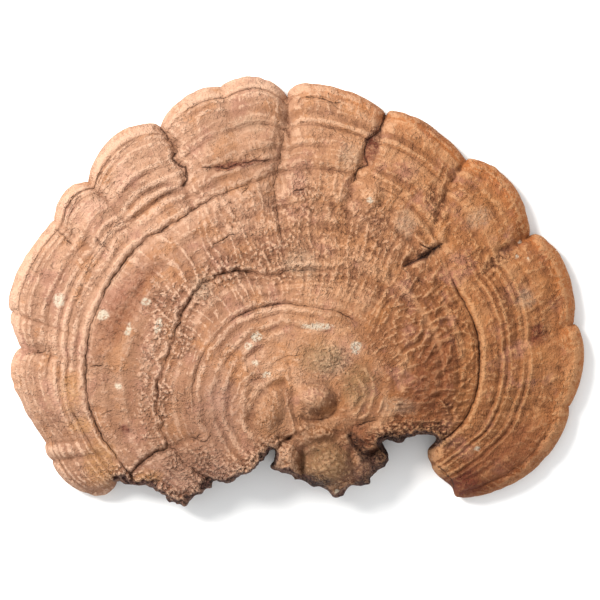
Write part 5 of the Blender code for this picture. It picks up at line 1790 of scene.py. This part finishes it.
@dataclass(frozen=True)
class CrustFinish:
    """Dry dusty crust, pale peach on one side and orange brown on the other.

    Attributes:
        west: Plain crust on the left.
        middle: Plain crust in the middle.
        east: Plain crust on the right.
        west_aged: The oldest crust, near the root, on the left.
        middle_aged: The oldest crust in the middle.
        east_aged: The oldest crust on the right.
        blush: Pinkish places.
        amber: Orange places.
        rim: The youngest crust, at the margin on the right.
        west_shade: Painted shade in its hollows, creases and crumb gaps and towards the bottom, and its darker
            mottling, on the left.
        east_shade: Painted shade in its hollows, creases and crumb gaps and towards the bottom, and its darker
            mottling, on the right.
        west_highlight_and_dust: Painted highlight on its ridges and crumb tops, and its pale dusty specks and
            mottling, on the left.
        east_highlight_and_dust: Painted highlight on its ridges and crumb tops, and its pale dusty specks and
            mottling, on the right.
        crack: Bottom of the cracks.
        chip: Small pale chips.
        crumb: Crumbly crust.
        places: Colour and strength of each other kind of place.
    """

    west: Colour = tone(162, 123, 98)
    middle: Colour = tone(158, 112, 80)
    east: Colour = tone(141, 90, 54)
    west_aged: Colour = tone(145, 105, 80)
    middle_aged: Colour = tone(155, 111, 80)
    east_aged: Colour = tone(123, 75, 43)
    blush: Colour = tone(150, 104, 90)
    amber: Colour = tone(158, 104, 60)
    rim: Colour = tone(158, 92, 46)
    west_shade: Colour = tone(108, 69, 48)
    east_shade: Colour = tone(80, 42, 22)
    west_highlight_and_dust: Colour = tone(190, 153, 128)
    east_highlight_and_dust: Colour = tone(176, 128, 88)
    crack: Colour = tone(52, 28, 18)
    chip: Colour = tone(186, 174, 154)
    crumb: Colour = tone(124, 90, 72)
    places: tuple[tuple[str, Colour, float], ...] = (
        ("dusty", tone(168, 142, 118), 0.4), ("mauve", tone(122, 90, 78), 0.5),
        ("ochre", tone(158, 112, 60), 0.45), ("olive", tone(128, 104, 70), 0.45),
        # The first place on the next line is painted shade; the second is warm brown, with painted shade on the
        # hook.
        ("umber", tone(128, 90, 64), 0.4), ("russet", tone(106, 56, 34), 0.6),
        ("rust", tone(84, 34, 24), 0.85),
    )

    def colour(self, paint: Paint, creases: Socket, crumbs: Socket, fine: Socket) -> Socket:
        """Colour of the crust all over the fan and the knobs.

        Args:
            paint: The shader tree.
            creases: The fine creases, 1 in a crease.
            crumbs: The crumbs, 1 on the top of one.
            fine: The fine grain.

        Returns:
            The colour.
        """
        east, ridge, hollow = paint.mark("east"), paint.mark("ridge"), paint.mark("hollow")
        pale = paint.mix(paint.span(east, 0.0, 0.5), self.west, self.middle)
        plain = paint.mix(paint.span(east, 0.4, 1.0), pale, self.east)
        aged = paint.mix(paint.span(east, 0.1, 0.4), self.west_aged, self.middle_aged)
        aged = paint.mix(paint.span(east, 0.4, 0.9), aged, self.east_aged)
        plain = paint.mix(paint.mark("aged"), plain, aged)
        shade = paint.mix(east, self.west_shade, self.east_shade)
        highlight_and_dust = paint.mix(east, self.west_highlight_and_dust, self.east_highlight_and_dust)
        tint = paint.noise(17.0, 4.0, 0.6)
        plain = paint.mix(paint.span(tint, 0.52, 0.66, 0.0, 0.45), plain, self.blush)
        plain = paint.mix(paint.span(tint, 0.48, 0.36, 0.0, 0.4), plain, self.amber)
        plain = paint.mix(paint.math("MULTIPLY", paint.mark("rim"), 0.8), plain, self.rim)
        plain = paint.mix(paint.math("MULTIPLY", paint.mark("crumb"), 0.25, clamp=True), plain, self.crumb)
        # Painted shade: darker towards the bottom, where the light falls off.
        plain = paint.mix(paint.mark("rear"), plain, shade)
        cloud = paint.total((paint.mark("band"), 0.5), (paint.noise(8.0, 5.0, 0.7), 1.6))
        plain = paint.mix(paint.span(cloud, 0.8, 1.25, 0.0, 0.45), plain, shade)
        plain = paint.mix(paint.span(cloud, 0.8, 0.4, 0.0, 0.45), plain, highlight_and_dust)
        # Painted shade: darker in hollows and creases, between crumbs and over crumbly crust, less on ridges.
        low = paint.total(
            (hollow, 0.42), (ridge, -0.35), (creases, 0.5), (paint.mark("crumb"), 0.4), (crumbs, -0.7))
        plain = paint.mix(paint.span(low, 0.15, 1.1, 0.0, 0.75), plain, shade)
        # Painted highlight on ridges and crumb tops, with pale dusty specks from the fine grain.
        high = paint.total((ridge, 0.45), (hollow, -0.3), (crumbs, 0.35), (fine, 1.6))
        plain = paint.mix(paint.span(high, 0.95, 1.45, 0.0, 0.7), plain, highlight_and_dust)
        for name, colour, strength in self.places:
            share = paint.math("MULTIPLY", paint.mark(name), paint.span(fine, 0.35, 0.6, 0.4 * strength, strength))
            plain = paint.mix(share, plain, colour)
        chipped = paint.math("MULTIPLY", paint.mark("chip"), paint.span(fine, 0.34, 0.52))
        return paint.mix(paint.math("MULTIPLY", chipped, 0.75), plain, self.chip)


@dataclass(frozen=True)
class TornFinish:
    """Torn flesh and tubes at the broken sides: crumbly and fibrous, in brown layers.

    Attributes:
        flesh: Plain torn flesh.
        deep: Painted shade in the gaps between its fibres, also the dark of the bark.
        layer: The layers of tubes.
        crumb: Pale crumbs.
    """

    flesh: Colour = tone(118, 86, 70)
    deep: Colour = tone(40, 23, 18)
    layer: Colour = tone(88, 58, 50)
    crumb: Colour = tone(158, 128, 106)

    def colour(self, paint: Paint) -> Socket:
        """Colour of the torn walls."""
        base = paint.mix(paint.span(paint.noise(4.0, 2.0, 0.5), 0.38, 0.62), self.flesh, self.layer)
        base = paint.mix(paint.span(paint.noise(2.3, 3.0, 0.6), 0.56, 0.68, 0.0, 0.8), base, self.crumb)
        fibres = paint.noise(1.6, 4.0, 0.65, 5.0)
        # Painted shade in the gaps between the fibres.
        return paint.mix(paint.span(fibres, 0.46, 0.62, 0.0, 0.9), base, self.deep)


@dataclass(frozen=True)
class PoreFinish:
    """The pore surface: brownish cream, full of fine pores, bruised darker in places.

    Attributes:
        skin: Plain surface.
        bruise: Its darker places.
        pore: Inside of a pore.
        spacing: Distance between pores in millimetres.
    """

    skin: Colour = tone(168, 140, 108)
    bruise: Colour = tone(118, 84, 56)
    pore: Colour = tone(84, 56, 36)
    spacing: float = 0.55

    def colour(self, paint: Paint) -> Socket:
        """Colour of the underside."""
        base = paint.mix(paint.span(paint.noise(28.0, 4.0, 0.6), 0.48, 0.66), self.skin, self.bruise)
        coordinates = paint.tree.nodes.new("ShaderNodeTexCoord")
        cells = paint.tree.nodes.new("ShaderNodeTexVoronoi")
        cells.inputs["Scale"].default_value = 1.0 / (self.spacing * MM)
        paint.tree.links.new(coordinates.outputs["Object"], cells.inputs["Vector"])
        return paint.mix(paint.span(cells.outputs["Distance"], 0.34, 0.12, 0.0, 0.75), base, self.pore)


@dataclass(frozen=True)
class CutFinish:
    """The sawn face at the root: smooth brown flesh with faint growth lines.

    Attributes:
        flesh: Plain sawn flesh.
        line: Its growth lines and specks.
    """

    flesh: Colour = tone(128, 80, 48)
    line: Colour = tone(92, 54, 32)

    def colour(self, paint: Paint) -> Socket:
        """Colour of the flat cut."""
        base = paint.mix(paint.span(paint.noise(12.0, 2.0, 0.5, 0.25), 0.42, 0.6), self.flesh, self.line)
        return paint.mix(paint.span(paint.noise(0.8, 2.0), 0.5, 0.75, 0.0, 0.5), base, self.line)


@dataclass(frozen=True)
class ConkSurface:
    """All of the conk's finishes, blended where its marks say.

    Attributes:
        crust: Finish of the upper face.
        torn: Finish of the torn sides.
        pores: Finish of the underside.
        cut: Finish of the root cut.
        roughness: Roughness of all of it.
        specular: Strength of its sheen.
        relief_height: Height in millimetres of the fine relief.
        speck_height: Height of the dusty specks.
        seam_depth: Depth of the thin cracks.
    """

    crust: CrustFinish = CrustFinish()
    torn: TornFinish = TornFinish()
    pores: PoreFinish = PoreFinish()
    cut: CutFinish = CutFinish()
    roughness: float = 0.92
    specular: float = 0.2
    relief_height: float = 1.1
    speck_height: float = 0.55
    seam_depth: float = 0.5

    def bumped(self, paint: Paint, height: Socket, size: float, below: Socket | None = None) -> Socket:
        """A surface direction that follows a height.

        Args:
            paint: The shader tree.
            height: The height, about from 0 to 1.
            size: Millimetres that a height of 1 stands for.
            below: The direction that it builds on.

        Returns:
            The direction.
        """
        bump = paint.tree.nodes.new("ShaderNodeBump")
        bump.inputs["Strength"].default_value = 1.0
        bump.inputs["Distance"].default_value = size * MM
        paint.tree.links.new(height, bump.inputs["Height"])
        if below is not None:
            paint.tree.links.new(below, bump.inputs["Normal"])
        return bump.outputs["Normal"]

    def dress(self, piece: bpy.types.Object) -> None:
        """Give the piece its material."""
        material = bpy.data.materials.new("dusty_conk")
        material.use_nodes = True
        paint = Paint(material.node_tree)
        shader = material.node_tree.nodes["Principled BSDF"]
        seam = paint.seam()
        fine = paint.noise(1.6, 3.0, 0.65)
        patchy = paint.span(paint.noise(13.0, 3.0, 0.6), 0.42, 0.60, 0.2, 1.0)
        lines = paint.blend(paint.mark("ringed"), paint.grain(3.0, 7.0), paint.grain(16.0, 2.6))
        leather = paint.creased(paint.noise(6.0, 3.0, 0.6), 16.0)
        creases = paint.total((leather, 0.65), (paint.creased(lines, 12.0), 0.35))
        creases = paint.math("MULTIPLY", creases, patchy)
        crumbs = paint.math("MULTIPLY", paint.cells(1.7), paint.mark("crumb"))
        bark = paint.math("MULTIPLY", paint.noise(3.6, 4.0, 0.7), paint.mark("knob"))
        relief = paint.total((creases, -0.65), (fine, 1.2), (crumbs, 0.9), (bark, 2.0))
        crust = self.crust.colour(paint, creases, crumbs, fine)
        crust = paint.mix(paint.math("MULTIPLY", seam, 0.75), crust, self.crust.crack)
        ragged = paint.total((paint.noise(2.2, 3.0), 0.8), (paint.mark("torn"), 1.0))
        colour = paint.mix(paint.span(ragged, 0.62, 1.05), crust, self.torn.colour(paint))
        # Dark bark, and painted shade in two dark holes at the root.
        bark_share = paint.math("MULTIPLY", paint.mark("bark"), paint.span(fine, 0.38, 0.58, 0.95, 0.45))
        colour = paint.mix(bark_share, colour, self.torn.deep)
        colour = paint.mix(paint.mark("pores"), colour, self.pores.colour(paint))
        colour = paint.mix(paint.span(paint.mark("cut"), 0.4, 0.7), colour, self.cut.colour(paint))
        paint.tree.links.new(colour, shader.inputs["Base Color"])
        shader.inputs["Roughness"].default_value = self.roughness
        shader.inputs["Specular IOR Level"].default_value = self.specular
        normal = self.bumped(paint, relief, self.relief_height)
        normal = self.bumped(paint, paint.noise(1.1, 2.0, 0.6), self.speck_height, normal)
        normal = self.bumped(paint, paint.math("SUBTRACT", 1.0, seam), self.seam_depth, normal)
        paint.tree.links.new(normal, shader.inputs["Normal"])
        piece.data.materials.append(material)


@dataclass
class Studio:
    """The plain pale floor, the soft light and the camera.

    Attributes:
        floor_size: Width of the floor in metres.
        floor_tone: Colour of the floor.
        key_place: Where the key light is.
        key_size: Width of the key light.
        key_power: Its power in watts.
        fill: Strength of the light from all round.
        fill_tone: Its colour.
        eye: Where the camera is.
        lens: Focal length of the camera.
    """

    floor_size: float = 4.0
    floor_tone: Colour = tone(247, 247, 246)
    key_place: tuple[float, float, float] = (-0.7, 0.52, 0.95)
    key_size: float = 0.6
    key_power: float = 29.0
    key_tone: tuple[float, float, float] = (1.0, 0.985, 0.96)
    fill: float = 1.0
    fill_tone: Colour = (0.97, 0.985, 1.0, 1.0)
    eye: tuple[float, float, float] = (0.0019, -0.0049, 2.4)
    lens: float = 276.0

    def lay_floor(self) -> bpy.types.Object:
        """Lay the floor."""
        half = self.floor_size / 2.0
        mesh = bpy.data.meshes.new("floor")
        mesh.from_pydata([(-half, -half, 0), (half, -half, 0), (half, half, 0), (-half, half, 0)],
                         [], [(0, 1, 2, 3)])
        material = bpy.data.materials.new("pale_floor")
        material.use_nodes = True
        shader = material.node_tree.nodes["Principled BSDF"]
        shader.inputs["Base Color"].default_value = self.floor_tone
        shader.inputs["Roughness"].default_value = 1.0
        shader.inputs["Specular IOR Level"].default_value = 0.0
        mesh.materials.append(material)
        floor = bpy.data.objects.new("floor", mesh)
        bpy.context.scene.collection.objects.link(floor)
        return floor

    def hang_lights(self) -> None:
        """Hang the key light and set the light from all round."""
        light = bpy.data.lights.new("key", "AREA")
        light.shape = "DISK"
        light.size = self.key_size
        light.energy = self.key_power
        light.color = self.key_tone
        key = bpy.data.objects.new("key", light)
        key.location = self.key_place
        key.rotation_euler = (-Vector(self.key_place)).to_track_quat("-Z", "Y").to_euler()
        bpy.context.scene.collection.objects.link(key)
        world = bpy.data.worlds.new("studio")
        world.use_nodes = True
        background = world.node_tree.nodes["Background"]
        background.inputs["Color"].default_value = self.fill_tone
        background.inputs["Strength"].default_value = self.fill
        bpy.context.scene.world = world

    def set_camera(self) -> None:
        """Point the camera straight down at the conk."""
        camera = bpy.data.cameras.new("camera")
        camera.lens = self.lens
        camera.clip_end = 10.0
        eye = bpy.data.objects.new("camera", camera)
        eye.location = self.eye
        bpy.context.scene.collection.objects.link(eye)
        bpy.context.scene.camera = eye
        bpy.context.scene.view_settings.view_transform = "Standard"


def main() -> None:
    """Build the conk, its finish and the studio."""
    logging.basicConfig(level=logging.INFO, format="%(message)s")
    piece = Conk().build()
    ConkSurface().dress(piece)
    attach(piece, "root")
    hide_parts("conk")
    LOG.info("conk body: %d triangles", len(piece.data.polygons))
    studio = Studio()
    studio.lay_floor()
    studio.hang_lights()
    studio.set_camera()
    LOG.info("studio: floor, key light, fill and camera")
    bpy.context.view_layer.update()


if __name__ == "__main__":
    main()
